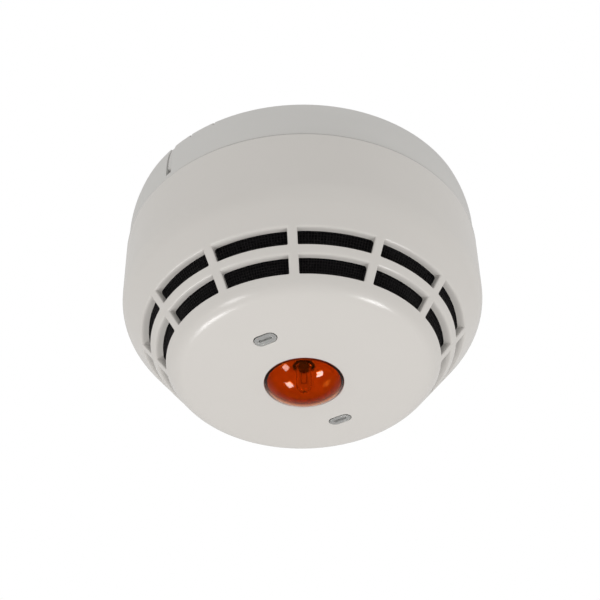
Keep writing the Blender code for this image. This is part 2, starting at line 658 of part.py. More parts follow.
def make_head_chassis():
    """Plate that closes the head, with the bayonet collar, its lugs and three snap fingers."""
    rim = COVER_INNER - CLEARANCE
    profile = [(0.0, CHASSIS_TOP), (COLLAR_INNER, CHASSIS_TOP), (COLLAR_INNER, LUG_TOP), (COLLAR_RADIUS, LUG_TOP),
               (COLLAR_RADIUS, CHASSIS_TOP), (rim, CHASSIS_TOP), (rim, CHASSIS_BOTTOM), (0.0, CHASSIS_BOTTOM)]
    chassis = turned_solid("head_chassis", profile, "inner_moulding", FORM_STEPS)

    joined = bmesh.new()
    for angle in BAYONET_ANGLES:
        lug = sector(COLLAR_RADIUS - COLLAR_WALL / 2, COLLAR_RADIUS + LUG_REACH,
                     angle - LUG_HALF_ANGLE, angle + LUG_HALF_ANGLE)
        prism(joined, lug, LUG_TOP + 0.01, LUG_BOTTOM)
    finger_outer = COVER_INNER - BEAD_HEIGHT - CLEARANCE
    finger_end = CHASSIS_BOTTOM + FINGER_LENGTH
    hook_top = HEAD_RIM + BEAD_DROP + BEAD_WIDTH + CLEARANCE
    for angle in FINGER_ANGLES:
        span = (angle - FINGER_HALF_ANGLE, angle + FINGER_HALF_ANGLE)
        prism(joined, sector(finger_outer - FINGER_THICKNESS, finger_outer, *span),
              CHASSIS_BOTTOM - CHASSIS_PLATE / 2, finger_end)
        nose = sector(finger_outer - FINGER_THICKNESS / 2, rim, span[0] + 0.5, span[1] - 0.5)
        tip = sector(finger_outer - FINGER_THICKNESS / 2, finger_outer + 0.05, span[0] + 0.5, span[1] - 0.5)
        stack_outlines(joined, [(nose, hook_top), (nose, hook_top + 0.4), (tip, finger_end - 0.05)])
    combine(chassis, joined, "UNION", "fittings")

    cutters = bmesh.new()
    cut_top = CHASSIS_TOP - CHASSIS_PLATE / 2
    cut_bottom = CHASSIS_BOTTOM + CHASSIS_PLATE / 2
    middle = BLADE_INNER_RADIUS + BLADE_WIDTH / 2
    for angle in TERMINAL_ANGLES:
        slot = rectangle(BLADE_WIDTH + 2 * LOOSE, BLADE_THICKNESS + 2 * LOOSE)
        prism(cutters, turn_outline(slot, angle, (middle, 0.0)), cut_top, cut_bottom)
    for angle in BAYONET_ANGLES:
        hole = circle(CHASSIS_SCREW_RADIUS + CLEARANCE)
        prism(cutters, turn_outline(hole, angle, (POST_CIRCLE, 0.0)), cut_top, cut_bottom)
    notch_inner = BASE_INNER - CLEARANCE - LOCK_STRIP_THICKNESS - LOOSE
    notch_length = BODY_RADIUS - notch_inner
    notch = rectangle(notch_length, LOCK_STRIP_WIDTH + 2 * LOOSE)
    for angle in (LOCK_ANGLE, LOCK_ANGLE + TWIST):
        prism(cutters, turn_outline(notch, angle, (notch_inner + notch_length / 2, 0.0)), cut_top, cut_bottom)
    combine(chassis, cutters, "DIFFERENCE", "cuts")


def make_sensor_deck():
    """Deck above the vented duct, with a well for the front board and three posts."""
    outer = cone_radius(DECK_BOTTOM, COVER_WALL) - CLEARANCE
    well_inner = WELL_RADIUS - WELL_WALL
    ledge = well_inner - WELL_LEDGE
    ledge_end = FRONT_BOARD_TOP - CLEARANCE
    well_end = face_depth(WELL_RADIUS, COVER_WALL) - CLEARANCE
    opening = math.hypot(HEADER_LENGTH, HEADER_WIDTH) / 2 + LOOSE
    profile = [(opening, DECK_TOP), (outer, DECK_TOP), (outer, DECK_BOTTOM), (WELL_RADIUS, DECK_BOTTOM),
               (WELL_RADIUS, well_end), (well_inner, well_end), (well_inner, ledge_end), (ledge, ledge_end),
               (ledge, DECK_BOTTOM), (opening, DECK_BOTTOM)]
    deck = turned_ring("sensor_deck", profile, "black_plastic")

    joined = bmesh.new()
    post_top = CHASSIS_BOTTOM + CLEARANCE
    post_shoulder = MAIN_BOARD_BOTTOM + CLEARANCE
    for angle in BAYONET_ANGLES:
        narrow = turn_outline(circle(POST_RADIUS), angle, (POST_CIRCLE, 0.0))
        wide = turn_outline(circle(POST_SHOULDER_RADIUS), angle, (POST_CIRCLE, 0.0))
        stack_outlines(joined, [(narrow, post_top), (narrow, post_shoulder), (wide, post_shoulder),
                                (wide, DECK_TOP + DECK_THICKNESS / 2)])
    combine(deck, joined, "UNION", "posts")

    cutters = bmesh.new()
    bore_end = CHASSIS_TOP + CHASSIS_SCREW_LENGTH + LOOSE
    for angle in BAYONET_ANGLES:
        hole = turn_outline(circle(CHASSIS_SCREW_RADIUS + CLEARANCE), angle, (POST_CIRCLE, 0.0))
        prism(cutters, hole, post_top - CHASSIS_PLATE, bore_end)
    for angle in (0.0, 180.0):
        hole = turn_outline(circle(THERMISTOR_STEM_RADIUS + CLEARANCE, 12), angle, (THERMISTOR_CIRCLE, 0.0))
        prism(cutters, hole, DECK_TOP - DECK_THICKNESS, DECK_BOTTOM + DECK_THICKNESS)
    combine(deck, cutters, "DIFFERENCE", "holes")


def make_boards():
    """Main board above the deck and front board in the well, joined by a pin header."""
    build = bmesh.new()
    prism(build, circle(COVER_INNER - BOARD_EDGE_GAP, MEDIUM_STEPS), MAIN_BOARD_TOP, MAIN_BOARD_BOTTOM)
    main_board = add_object("main_board", build, "board_green")
    holes = bmesh.new()
    for angle in BAYONET_ANGLES:
        hole = turn_outline(circle(POST_RADIUS + CLEARANCE), angle, (POST_CIRCLE, 0.0))
        prism(holes, hole, MAIN_BOARD_TOP - BOARD_THICKNESS, MAIN_BOARD_BOTTOM + BOARD_THICKNESS)
    combine(main_board, holes, "DIFFERENCE", "holes")

    build = bmesh.new()
    prism(build, circle(WELL_RADIUS - WELL_WALL - LOOSE, MEDIUM_STEPS), FRONT_BOARD_TOP, FRONT_BOARD_BOTTOM)
    add_object("front_board", build, "board_green")

    build = bmesh.new()
    prism(build, rectangle(HEADER_LENGTH, HEADER_WIDTH), MAIN_BOARD_BOTTOM + CLEARANCE,
          FRONT_BOARD_TOP - CLEARANCE)
    add_object("board_link", build, "black_plastic")


def make_contact_blade(number, angle):
    """Upright blade on the main board that meets a contact leaf on the base."""
    build = bmesh.new()
    middle = BLADE_INNER_RADIUS + BLADE_WIDTH / 2
    full = turn_outline(rectangle(BLADE_WIDTH, BLADE_THICKNESS), angle, (middle, 0.0))
    narrow = turn_outline(rectangle(BLADE_WIDTH - 1.6, BLADE_THICKNESS), angle, (middle, 0.0))
    top = LEAF_BOTTOM + CLEARANCE
    stack_outlines(build, [(narrow, top), (full, top + 0.8), (full, MAIN_BOARD_TOP - CLEARANCE)])
    add_object(f"contact_blade_{number}", build, "plated_brass")


def make_thermistor(number, angle):
    """Bead thermistor on an insulated stem that hangs into the vented duct."""
    start = MAIN_BOARD_BOTTOM + CLEARANCE
    end = BEAD_LEVEL + THERMISTOR_BEAD_LENGTH / 2
    profile = [(0.0, start), (THERMISTOR_STEM_RADIUS, start)]
    for turn in (-60.0, -30.0, 0.0, 30.0, 60.0):
        radius, rise = polar(1.0, turn)
        profile.append((radius * THERMISTOR_BEAD_RADIUS, BEAD_LEVEL + rise * THERMISTOR_BEAD_LENGTH / 2))
    profile.append((0.0, end))
    turned_solid(f"thermistor_{number}", profile, "thermistor_epoxy", 12, polar(THERMISTOR_CIRCLE, angle))


def make_board_components():
    """Controller chip and two capacitors on the main board."""
    bottom = MAIN_BOARD_TOP - CLEARANCE
    build = bmesh.new()
    outline = [(x + CHIP_OFFSET, y) for x, y in rectangle(CHIP_SIDE, CHIP_SIDE)]
    prism(build, outline, bottom - CHIP_HEIGHT, bottom)
    add_object("controller_chip", build, "black_plastic")
    top = bottom - CAPACITOR_HEIGHT
    lip = CAPACITOR_RADIUS * 0.12
    profile = [(0.0, top), (CAPACITOR_RADIUS - lip, top), (CAPACITOR_RADIUS, top + lip),
               (CAPACITOR_RADIUS, bottom - lip), (CAPACITOR_RADIUS - lip, bottom), (0.0, bottom)]
    for number, offset in enumerate(CAPACITOR_OFFSETS, 1):
        turned_solid(f"capacitor_{number}", profile, "capacitor_sleeve", SMALL_STEPS, (offset, 0.0))


# Signal lamp

def dome_points(radius, rim_depth, dome_radius, steps, inset=0.0):
    """Points of the lens dome from its rim to the axis, at an inset."""
    centre = rim_depth - math.sqrt(dome_radius ** 2 - LENS_RADIUS ** 2)
    sphere = dome_radius - inset
    last = math.asin(radius / sphere)
    points = []
    for index in range(steps + 1):
        angle = last * (1 - index / steps)
        points.append((sphere * math.sin(angle), centre + sphere * math.cos(angle)))
    return points


def lens_levels():
    """Depths of the gasket's upper side and of the lens flange's lower and upper side."""
    gasket_bottom = face_depth(LENS_RADIUS + LENS_FLANGE, COVER_WALL) - CLEARANCE
    gasket_top = gasket_bottom - GASKET_THICKNESS
    flange_bottom = gasket_top - CLEARANCE
    return gasket_bottom, gasket_top, flange_bottom, flange_bottom - LENS_FLANGE_THICKNESS


def make_signal_lens():
    """Amber dome lens with a retaining flange, and the gasket that seals it."""
    gasket_bottom, gasket_top, flange_bottom, flange_top = lens_levels()
    outer = dome_points(LENS_RADIUS, LENS_RIM, LENS_DOME_RADIUS, 4)
    inner = dome_points(LENS_RADIUS - LENS_WALL, LENS_RIM, LENS_DOME_RADIUS, 3, LENS_WALL)
    flange_radius = LENS_RADIUS + LENS_FLANGE
    profile = inner[::-1] + [(LENS_RADIUS - LENS_WALL, flange_top), (flange_radius, flange_top),
                             (flange_radius, flange_bottom), (LENS_RADIUS, flange_bottom)] + outer
    turned_solid("signal_lens", profile, "amber_lens", MEDIUM_STEPS)
    gasket_inner = LENS_RADIUS + CLEARANCE
    gasket = [(gasket_inner, gasket_top), (flange_radius, gasket_top),
              (flange_radius, gasket_bottom), (gasket_inner, gasket_bottom)]
    turned_ring("lens_gasket", gasket, "gasket_rubber", MEDIUM_STEPS)


def reflector_back():
    """Depth of the reflector's back, around the lamp's aperture."""
    return LENS_RIM - REFLECTOR_SETBACK - REFLECTOR_DEPTH - REFLECTOR_WALL


def make_reflector():
    """Deep white bowl around the lamp, with a skirt inside the lens and a flange behind it."""
    rim = lens_levels()[3] - CLEARANCE
    flange_radius = LENS_RADIUS + LENS_FLANGE
    skirt = LENS_RADIUS - LENS_WALL - CLEARANCE
    lip = skirt - REFLECTOR_LIP
    lip_depth = LENS_RIM - REFLECTOR_SETBACK
    bend = REFLECTOR_DEPTH / (lip ** 2 - REFLECTOR_APERTURE ** 2)
    bowl = []
    steps = 5
    for index in range(steps + 1):
        radius = lip + (REFLECTOR_APERTURE - lip) * index / steps
        bowl.append((radius, lip_depth - bend * (lip ** 2 - radius ** 2)))
    back = reflector_back()
    middle = (skirt + REFLECTOR_APERTURE) / 2
    profile = [(flange_radius, rim), (skirt, rim), (skirt, lip_depth)] + bowl
    profile += [(REFLECTOR_APERTURE, back), (middle, back), (skirt, rim - REFLECTOR_WALL),
                (flange_radius, rim - REFLECTOR_WALL)]
    turned_ring("reflector", profile, "white_coat", MEDIUM_STEPS)


def make_lamp():
    """Wedge lamp in its holder: glass envelope, filament and base."""
    holder_top = FRONT_BOARD_BOTTOM + CLEARANCE
    holder_end = reflector_back() - CLEARANCE
    bore = LAMP_RADIUS + CLEARANCE
    outer = bore + HOLDER_WALL
    profile = [(bore, holder_top), (outer, holder_top), (outer, holder_end), (bore, holder_end)]
    turned_ring("lamp_holder", profile, "black_plastic", MEDIUM_STEPS)

    base_end = holder_end + LAMP_BASE_RISE
    stem_end = base_end + LAMP_STEM_LENGTH
    profile = [(0.0, holder_top), (LAMP_RADIUS - 0.1, holder_top), (LAMP_RADIUS - 0.1, base_end),
               (LAMP_STEM_RADIUS, base_end), (LAMP_STEM_RADIUS, stem_end), (0.0, stem_end)]
    turned_solid("lamp_base", profile, "black_plastic", SMALL_STEPS)

    tip = LENS_RIM + LENS_RISE - LENS_WALL - LAMP_TIP_GAP
    rim = base_end + CLEARANCE
    profile = envelope_points(LAMP_RADIUS - LAMP_GLASS_WALL, tip - LAMP_GLASS_WALL, rim)[::-1]
    profile += envelope_points(LAMP_RADIUS, tip, rim)
    turned_solid("lamp_glass", profile, "clear_glass", SMALL_STEPS)

    make_filament(stem_end + CLEARANCE)


def envelope_points(radius, tip, rim):
    """Lamp glass from its rim down to a rounded tip."""
    points = [(radius, rim)]
    steps = 5
    for index in range(steps + 1):
        share, rise = polar(1.0, 90.0 * index / steps)
        points.append((radius * share, tip - radius * 1.15 * (1 - rise)))
    points[-1] = (0.0, tip)
    return points


def make_filament(start):
    """Two support wires with the filament's arch between them, as one bent wire."""
    low = start + FILAMENT_DROP
    route = [(-FILAMENT_SPREAD * 0.7, start), (-FILAMENT_SPREAD, low - 1.0)]
    steps = 6
    for index in range(steps + 1):
        x, rise = polar(FILAMENT_SPREAD, 180.0 - 180.0 * index / steps)
        route.append((x, low - 0.9 + rise))
    route += [(FILAMENT_SPREAD, low - 1.0), (FILAMENT_SPREAD * 0.7, start)]
    curve = bpy.data.curves.new("lamp_filament", "CURVE")
    curve.dimensions = "3D"
    curve.bevel_depth = FILAMENT_RADIUS * MM
    curve.bevel_resolution = 1
    curve.render_resolution_u = 0
    curve.use_fill_caps = True
    spline = curve.splines.new("POLY")
    spline.points.add(len(route) - 1)
    for point, (x, depth) in zip(spline.points, route):
        point.co = (x * MM, 0.0, -depth * MM, 1.0)
    curve.materials.append(material("tungsten", *FINISHES["tungsten"]))
    bpy.context.scene.collection.objects.link(bpy.data.objects.new("lamp_filament", curve))


def make_indicator(number, angle):
    """Clear light guide flush with the face, and the LED behind it."""
    led_top = FRONT_BOARD_BOTTOM + CLEARANCE
    led_bottom = led_top + LED_HEIGHT
    flange_bottom = face_depth(INDICATOR_CIRCLE + GUIDE_WIDTH / 2 + GUIDE_FLANGE, COVER_WALL) - CLEARANCE
    flange_top = flange_bottom - GUIDE_FLANGE_THICKNESS
    tip = face_depth(INDICATOR_CIRCLE)
    plain = guide_outline(angle)
    wide = guide_outline(angle, GUIDE_FLANGE)
    build = bmesh.new()
    stack_outlines(build, [(plain, led_bottom + CLEARANCE), (plain, flange_top), (wide, flange_top),
                           (wide, flange_bottom), (plain, flange_bottom), (plain, tip)])
    add_object(f"light_guide_{number}", build, "clear_guide")
    build = bmesh.new()
    outline = turn_outline(rectangle(LED_WIDTH, LED_LENGTH), angle, (INDICATOR_CIRCLE, 0.0))
    prism(build, outline, led_top, led_bottom)
    add_object(f"indicator_led_{number}", build, "led_body")


def main():
    """Clear the scene and make every piece."""
    for old in list(bpy.data.objects):
        bpy.data.objects.remove(old, do_unlink=True)
    make_base_shell()
    for number, angle in enumerate(TERMINAL_ANGLES, 1):
        make_base_contact(number, angle)
        make_clamp_plate(number, angle)
        make_screw(f"terminal_screw_{number}", polar(TERMINAL_RADIUS, angle), angle + 20.0 * number,
                   BORE_FLOOR + CLEARANCE, TERMINAL_HEAD_TOP, TERMINAL_SHANK_RADIUS,
                   TERMINAL_HEAD_RADIUS, TERMINAL_HEAD_HEIGHT)
        make_contact_blade(number, angle)
    make_lock_slide()
    make_head_chassis()
    for number, angle in enumerate(BAYONET_ANGLES, 1):
        make_screw(f"chassis_screw_{number}", polar(POST_CIRCLE, angle), angle + 35.0 * number,
                   CHASSIS_TOP + CHASSIS_SCREW_LENGTH, CHASSIS_TOP - CLEARANCE, CHASSIS_SCREW_RADIUS,
                   CHASSIS_SCREW_HEAD_RADIUS, CHASSIS_SCREW_HEAD)
    make_head_cover()
    make_vent_screen()
    make_sensor_deck()
    make_boards()
    make_board_components()
    for number, angle in enumerate((0.0, 180.0), 1):
        make_thermistor(number, angle)
    make_signal_lens()
    make_reflector()
    make_lamp()
    for number, angle in enumerate(INDICATOR_ANGLES, 1):
        make_indicator(number, angle)


main()
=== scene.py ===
"""Looks of a ceiling heat detector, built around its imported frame.

The object's lengths are in millimetres and become metres where a mesh is made; the studio's are in
metres. A depth is a distance below the ceiling, so z = -depth. Angles are in degrees and run
anticlockwise seen from above, from +X.
"""

import logging
import math
from dataclasses import dataclass, field
from enum import Enum
from typing import Iterable, Sequence

import bmesh
import bpy
from mathutils import Matrix, Vector


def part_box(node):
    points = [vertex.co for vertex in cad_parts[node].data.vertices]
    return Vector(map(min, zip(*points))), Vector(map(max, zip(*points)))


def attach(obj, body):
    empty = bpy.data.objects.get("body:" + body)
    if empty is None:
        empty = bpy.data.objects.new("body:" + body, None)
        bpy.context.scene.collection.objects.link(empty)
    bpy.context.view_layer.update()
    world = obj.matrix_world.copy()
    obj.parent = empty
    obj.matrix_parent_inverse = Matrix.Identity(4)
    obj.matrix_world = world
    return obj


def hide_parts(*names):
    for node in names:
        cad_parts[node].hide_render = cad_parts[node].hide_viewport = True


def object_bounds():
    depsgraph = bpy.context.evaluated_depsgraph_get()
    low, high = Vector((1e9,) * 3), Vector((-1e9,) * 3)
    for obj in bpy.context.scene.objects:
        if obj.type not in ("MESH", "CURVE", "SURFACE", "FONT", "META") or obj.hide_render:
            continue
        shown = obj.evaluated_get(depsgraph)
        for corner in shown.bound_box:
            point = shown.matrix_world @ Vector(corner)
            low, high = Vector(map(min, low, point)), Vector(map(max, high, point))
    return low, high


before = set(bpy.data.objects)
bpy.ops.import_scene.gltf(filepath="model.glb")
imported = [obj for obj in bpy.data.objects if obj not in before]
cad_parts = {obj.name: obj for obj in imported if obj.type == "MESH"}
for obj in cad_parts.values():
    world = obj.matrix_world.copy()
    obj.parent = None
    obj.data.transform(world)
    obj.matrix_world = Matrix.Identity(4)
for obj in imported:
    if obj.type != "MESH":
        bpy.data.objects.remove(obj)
CAD_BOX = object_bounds()
LOG = logging.getLogger("detector")
MM = 0.001
SEAM = -90.0             # angle where turned shapes start, in degrees
ON_AXIS = 1e-6           # radii below this are a point on the axis, in millimetres
WELD = 1e-3              # points of the cover closer than this become one, in millimetres

Plan = tuple[float, float]
Outline = list[Plan]
Point = tuple[float, float, float]


class Body(Enum):
    """Bodies of the frame that pieces ride on."""

    BASE = "base"
    HEAD = "head"
    LOCK = "lock_slide"


class Effect(Enum):
    """Effects that come as shared node groups."""

    GRAIN = "moulding_grain"
    WEAR = "edge_wear"
    DUST = "settled_dust"


# Plan and mesh helpers

def polar(radius: float, angle: float) -> Plan:
    """Plan point at a radius and an angle in degrees."""
    turn = math.radians(angle)
    return radius * math.cos(turn), radius * math.sin(turn)


def blend_values(low: float, high: float, share: float) -> float:
    """Value at a share of the way between two values."""
    return low + (high - low) * share


def turn_outline(outline: Iterable[Plan], angle: float, out: float = 0.0) -> Outline:
    """Outline moved out along X and then turned about the vertical axis.

    Args:
        outline: Plan points.
        angle: Turn in degrees.
        out: Move along X made before the turn.

    Returns:
        The placed plan points.
    """
    cosine, sine = math.cos(math.radians(angle)), math.sin(math.radians(angle))
    moved = [(x + out, y) for x, y in outline]
    return [(x * cosine - y * sine, x * sine + y * cosine) for x, y in moved]


def rectangle(length: float, width: float) -> Outline:
    """Rectangle about its centre."""
    return [(-length / 2, -width / 2), (length / 2, -width / 2),
            (length / 2, width / 2), (-length / 2, width / 2)]


def circle(radius: float, steps: int = 32) -> Outline:
    """Circle about its centre."""
    return [polar(radius, 360.0 * index / steps) for index in range(steps)]


def stadium(length: float, width: float, steps: int = 12) -> Outline:
    """Stadium about its centre, with its long way along X."""
    reach = (length - width) / 2
    points = []
    for side, first in ((1, -90.0), (-1, 90.0)):
        for index in range(steps + 1):
            x, y = polar(width / 2, first + 180.0 * index / steps)
            points.append((x + side * reach, y))
    return points


def sector(inner: float, outer: float, first: float, last: float, steps: int = 8) -> Outline:
    """Outline of a ring's sector between two angles."""
    angles = [blend_values(first, last, index / steps) for index in range(steps + 1)]
    return [polar(outer, angle) for angle in angles] + [polar(inner, angle) for angle in reversed(angles)]


def arc_points(centre: Plan, radius: float, first: float, last: float, steps: int) -> Outline:
    """Points of an arc, in degrees, with both ends."""
    points = []
    for index in range(steps + 1):
        x, y = polar(radius, blend_values(first, last, index / steps))
        points.append((centre[0] + x, centre[1] + y))
    return points


def fillet(corner: Plan, before: Plan, after: Plan, radius: float, steps: int = 8) -> Outline:
    """Arc that rounds the corner between two points."""
    first = math.atan2(before[1] - corner[1], before[0] - corner[0])
    second = math.atan2(after[1] - corner[1], after[0] - corner[0])
    spread = (second - first + math.pi) % (2 * math.pi) - math.pi
    half, middle = abs(spread) / 2, first + spread / 2
    centre = (corner[0] + radius / math.sin(half) * math.cos(middle),
              corner[1] + radius / math.sin(half) * math.sin(middle))
    sweep = math.copysign(math.pi - 2 * half, spread)
    points = []
    for index in range(steps + 1):
        angle = middle + math.pi - sweep * (index / steps - 0.5)
        points.append((centre[0] + radius * math.cos(angle), centre[1] + radius * math.sin(angle)))
    return points


def link_object(name: str, data: bpy.types.ID) -> bpy.types.Object:
    """New object in the scene's own collection."""
    made = bpy.data.objects.new(name, data)
    bpy.context.scene.collection.objects.link(made)
    return made


def soften(mesh: bpy.types.Mesh, angle: float) -> None:
    """Shade smooth, except over edges sharper than an angle in degrees."""
    mesh.shade_smooth()
    mesh.set_sharp_from_angle(angle=math.radians(angle))


class Mesher:
    """Collects geometry in millimetres and turns it into one object in metres."""

    def __init__(self) -> None:
        """Start with an empty mesh."""
        self.build = bmesh.new()

    def loop(self, points: Iterable[Point]) -> list[bmesh.types.BMVert]:
        """Vertices at the given points."""
        return [self.build.verts.new(point) for point in points]

    def level(self, outline: Iterable[Plan], depth: float) -> list[bmesh.types.BMVert]:
        """Vertices of a plan outline at one depth."""
        return self.loop((x, y, -depth) for x, y in outline)

    def bridge(self, first: Sequence[bmesh.types.BMVert], second: Sequence[bmesh.types.BMVert]) -> None:
        """Quads between two loops with the same count."""
        for index in range(len(first)):
            following = (index + 1) % len(first)
            self.build.faces.new((first[index], first[following], second[following], second[index]))

    def chain(self, loops: Sequence[Sequence[bmesh.types.BMVert]]) -> None:
        """Quads through a row of loops."""
        for first, second in zip(loops, loops[1:]):
            self.bridge(first, second)

    def cap(self, loop: Sequence[bmesh.types.BMVert]) -> None:
        """Close a loop with a fan around its middle."""
        middle = self.build.verts.new(sum((v.co for v in loop), Vector()) / len(loop))
        for index in range(len(loop)):
            self.build.faces.new((loop[index], loop[(index + 1) % len(loop)], middle))

    def stack(self, levels: Sequence[tuple[Outline, float]]) -> None:
        """Closed body through outlines with one count, each given with its depth."""
        rings = [self.level(outline, depth) for outline, depth in levels]
        self.chain(rings)
        self.cap(rings[0])
        self.cap(rings[-1])

    def prism(self, outline: Outline, top: float, bottom: float) -> None:
        """Closed body between two depths, with one outline."""
        self.stack([(outline, top), (outline, bottom)])

    def soft_prism(self, outline: Outline, top: float, bottom: float, rounding: float) -> None:
        """Prism with bevelled ends, whose outline shrinks a little at each end."""
        centre_x = sum(x for x, _ in outline) / len(outline)
        centre_y = sum(y for _, y in outline) / len(outline)
        reach = max(math.hypot(x - centre_x, y - centre_y) for x, y in outline)
        shrink = 1 - rounding / reach
        small = [(centre_x + (x - centre_x) * shrink, centre_y + (y - centre_y) * shrink) for x, y in outline]
        self.stack([(small, top), (outline, top + rounding), (outline, bottom - rounding), (small, bottom)])

    def turned(self, profile: Outline, columns: int, closed: bool = True) -> None:
        """Turn a profile of (radius, depth) points about the vertical axis.

        Args:
            profile: Points; an open profile starts and ends on the axis.
            columns: Steps round the axis.
            closed: Whether the profile closes on itself away from the axis.
        """
        rings: list[list[bmesh.types.BMVert]] = []
        for radius, depth in profile:
            if radius < ON_AXIS:
                rings.append([self.build.verts.new((0.0, 0.0, -depth))])
                continue
            points = [polar(radius, SEAM + 360.0 * index / columns) for index in range(columns)]
            rings.append(self.level(points, depth))
        pairs = list(zip(rings, rings[1:])) + ([(rings[-1], rings[0])] if closed else [])
        for first, second in pairs:
            if len(first) == 1 or len(second) == 1:
                ring, tip = (second, first[0]) if len(first) == 1 else (first, second[0])
                for index in range(columns):
                    self.build.faces.new((ring[index], ring[(index + 1) % columns], tip))
            else:
                self.bridge(first, second)

    def finish(self, name: str, smooth: float = 35.0, weld: float = 0.0) -> bpy.types.Object:
        """Make the object.

        Args:
            name: Object name.
            smooth: Edges sharper than this stay sharp, in degrees.
            weld: Merge distance in millimetres, or zero.

        Returns:
            The linked object.
        """
        if weld:
            bmesh.ops.remove_doubles(self.build, verts=self.build.verts, dist=weld)
        unused = [point for point in self.build.verts if not point.link_faces]
        bmesh.ops.delete(self.build, geom=unused, context="VERTS")
        bmesh.ops.recalc_face_normals(self.build, faces=self.build.faces)
        bmesh.ops.scale(self.build, vec=(MM, MM, MM), verts=self.build.verts)
        mesh = bpy.data.meshes.new(name)
        self.build.to_mesh(mesh)
        self.build.free()
        soften(mesh, smooth)
        return link_object(name, mesh)


def carve(target: bpy.types.Object, tool: bpy.types.Object, operation: str) -> None:
    """Apply a Boolean of the target with a tool, and remove the tool."""
    modifier = target.modifiers.new("carve", "BOOLEAN")
    modifier.operation = operation
    modifier.solver = "EXACT"
    modifier.use_self = operation == "UNION"
    modifier.object = tool
    apply_modifiers(target)
    bpy.data.objects.remove(tool, do_unlink=True)
    weld_points(target)


def weld_points(target: bpy.types.Object, reach: float = 2e-3) -> None:
    """Merge an object's points that lie closer than a reach, and drop the faces that this closes."""
    build = bmesh.new()
    build.from_mesh(target.data)
    bmesh.ops.remove_doubles(build, verts=build.verts, dist=reach * MM)
    bmesh.ops.dissolve_degenerate(build, edges=build.edges, dist=reach * MM)
    build.to_mesh(target.data)
    build.free()


def apply_modifiers(target: bpy.types.Object) -> None:
    """Replace the object's mesh with its evaluated one."""
    depsgraph = bpy.context.evaluated_depsgraph_get()
    mesh = bpy.data.meshes.new_from_object(target.evaluated_get(depsgraph))
    target.modifiers.clear()
    old = target.data
    target.data = mesh
    bpy.data.meshes.remove(old)


# Shared shader effects

def set_inputs(node: bpy.types.Node, values: dict[str, float | Sequence[float]]) -> bpy.types.Node:
    """Set values on a node's inputs, whose names may be written with underscores."""
    for label, value in values.items():
        node.inputs[label.replace("_", " ")].default_value = value
    return node


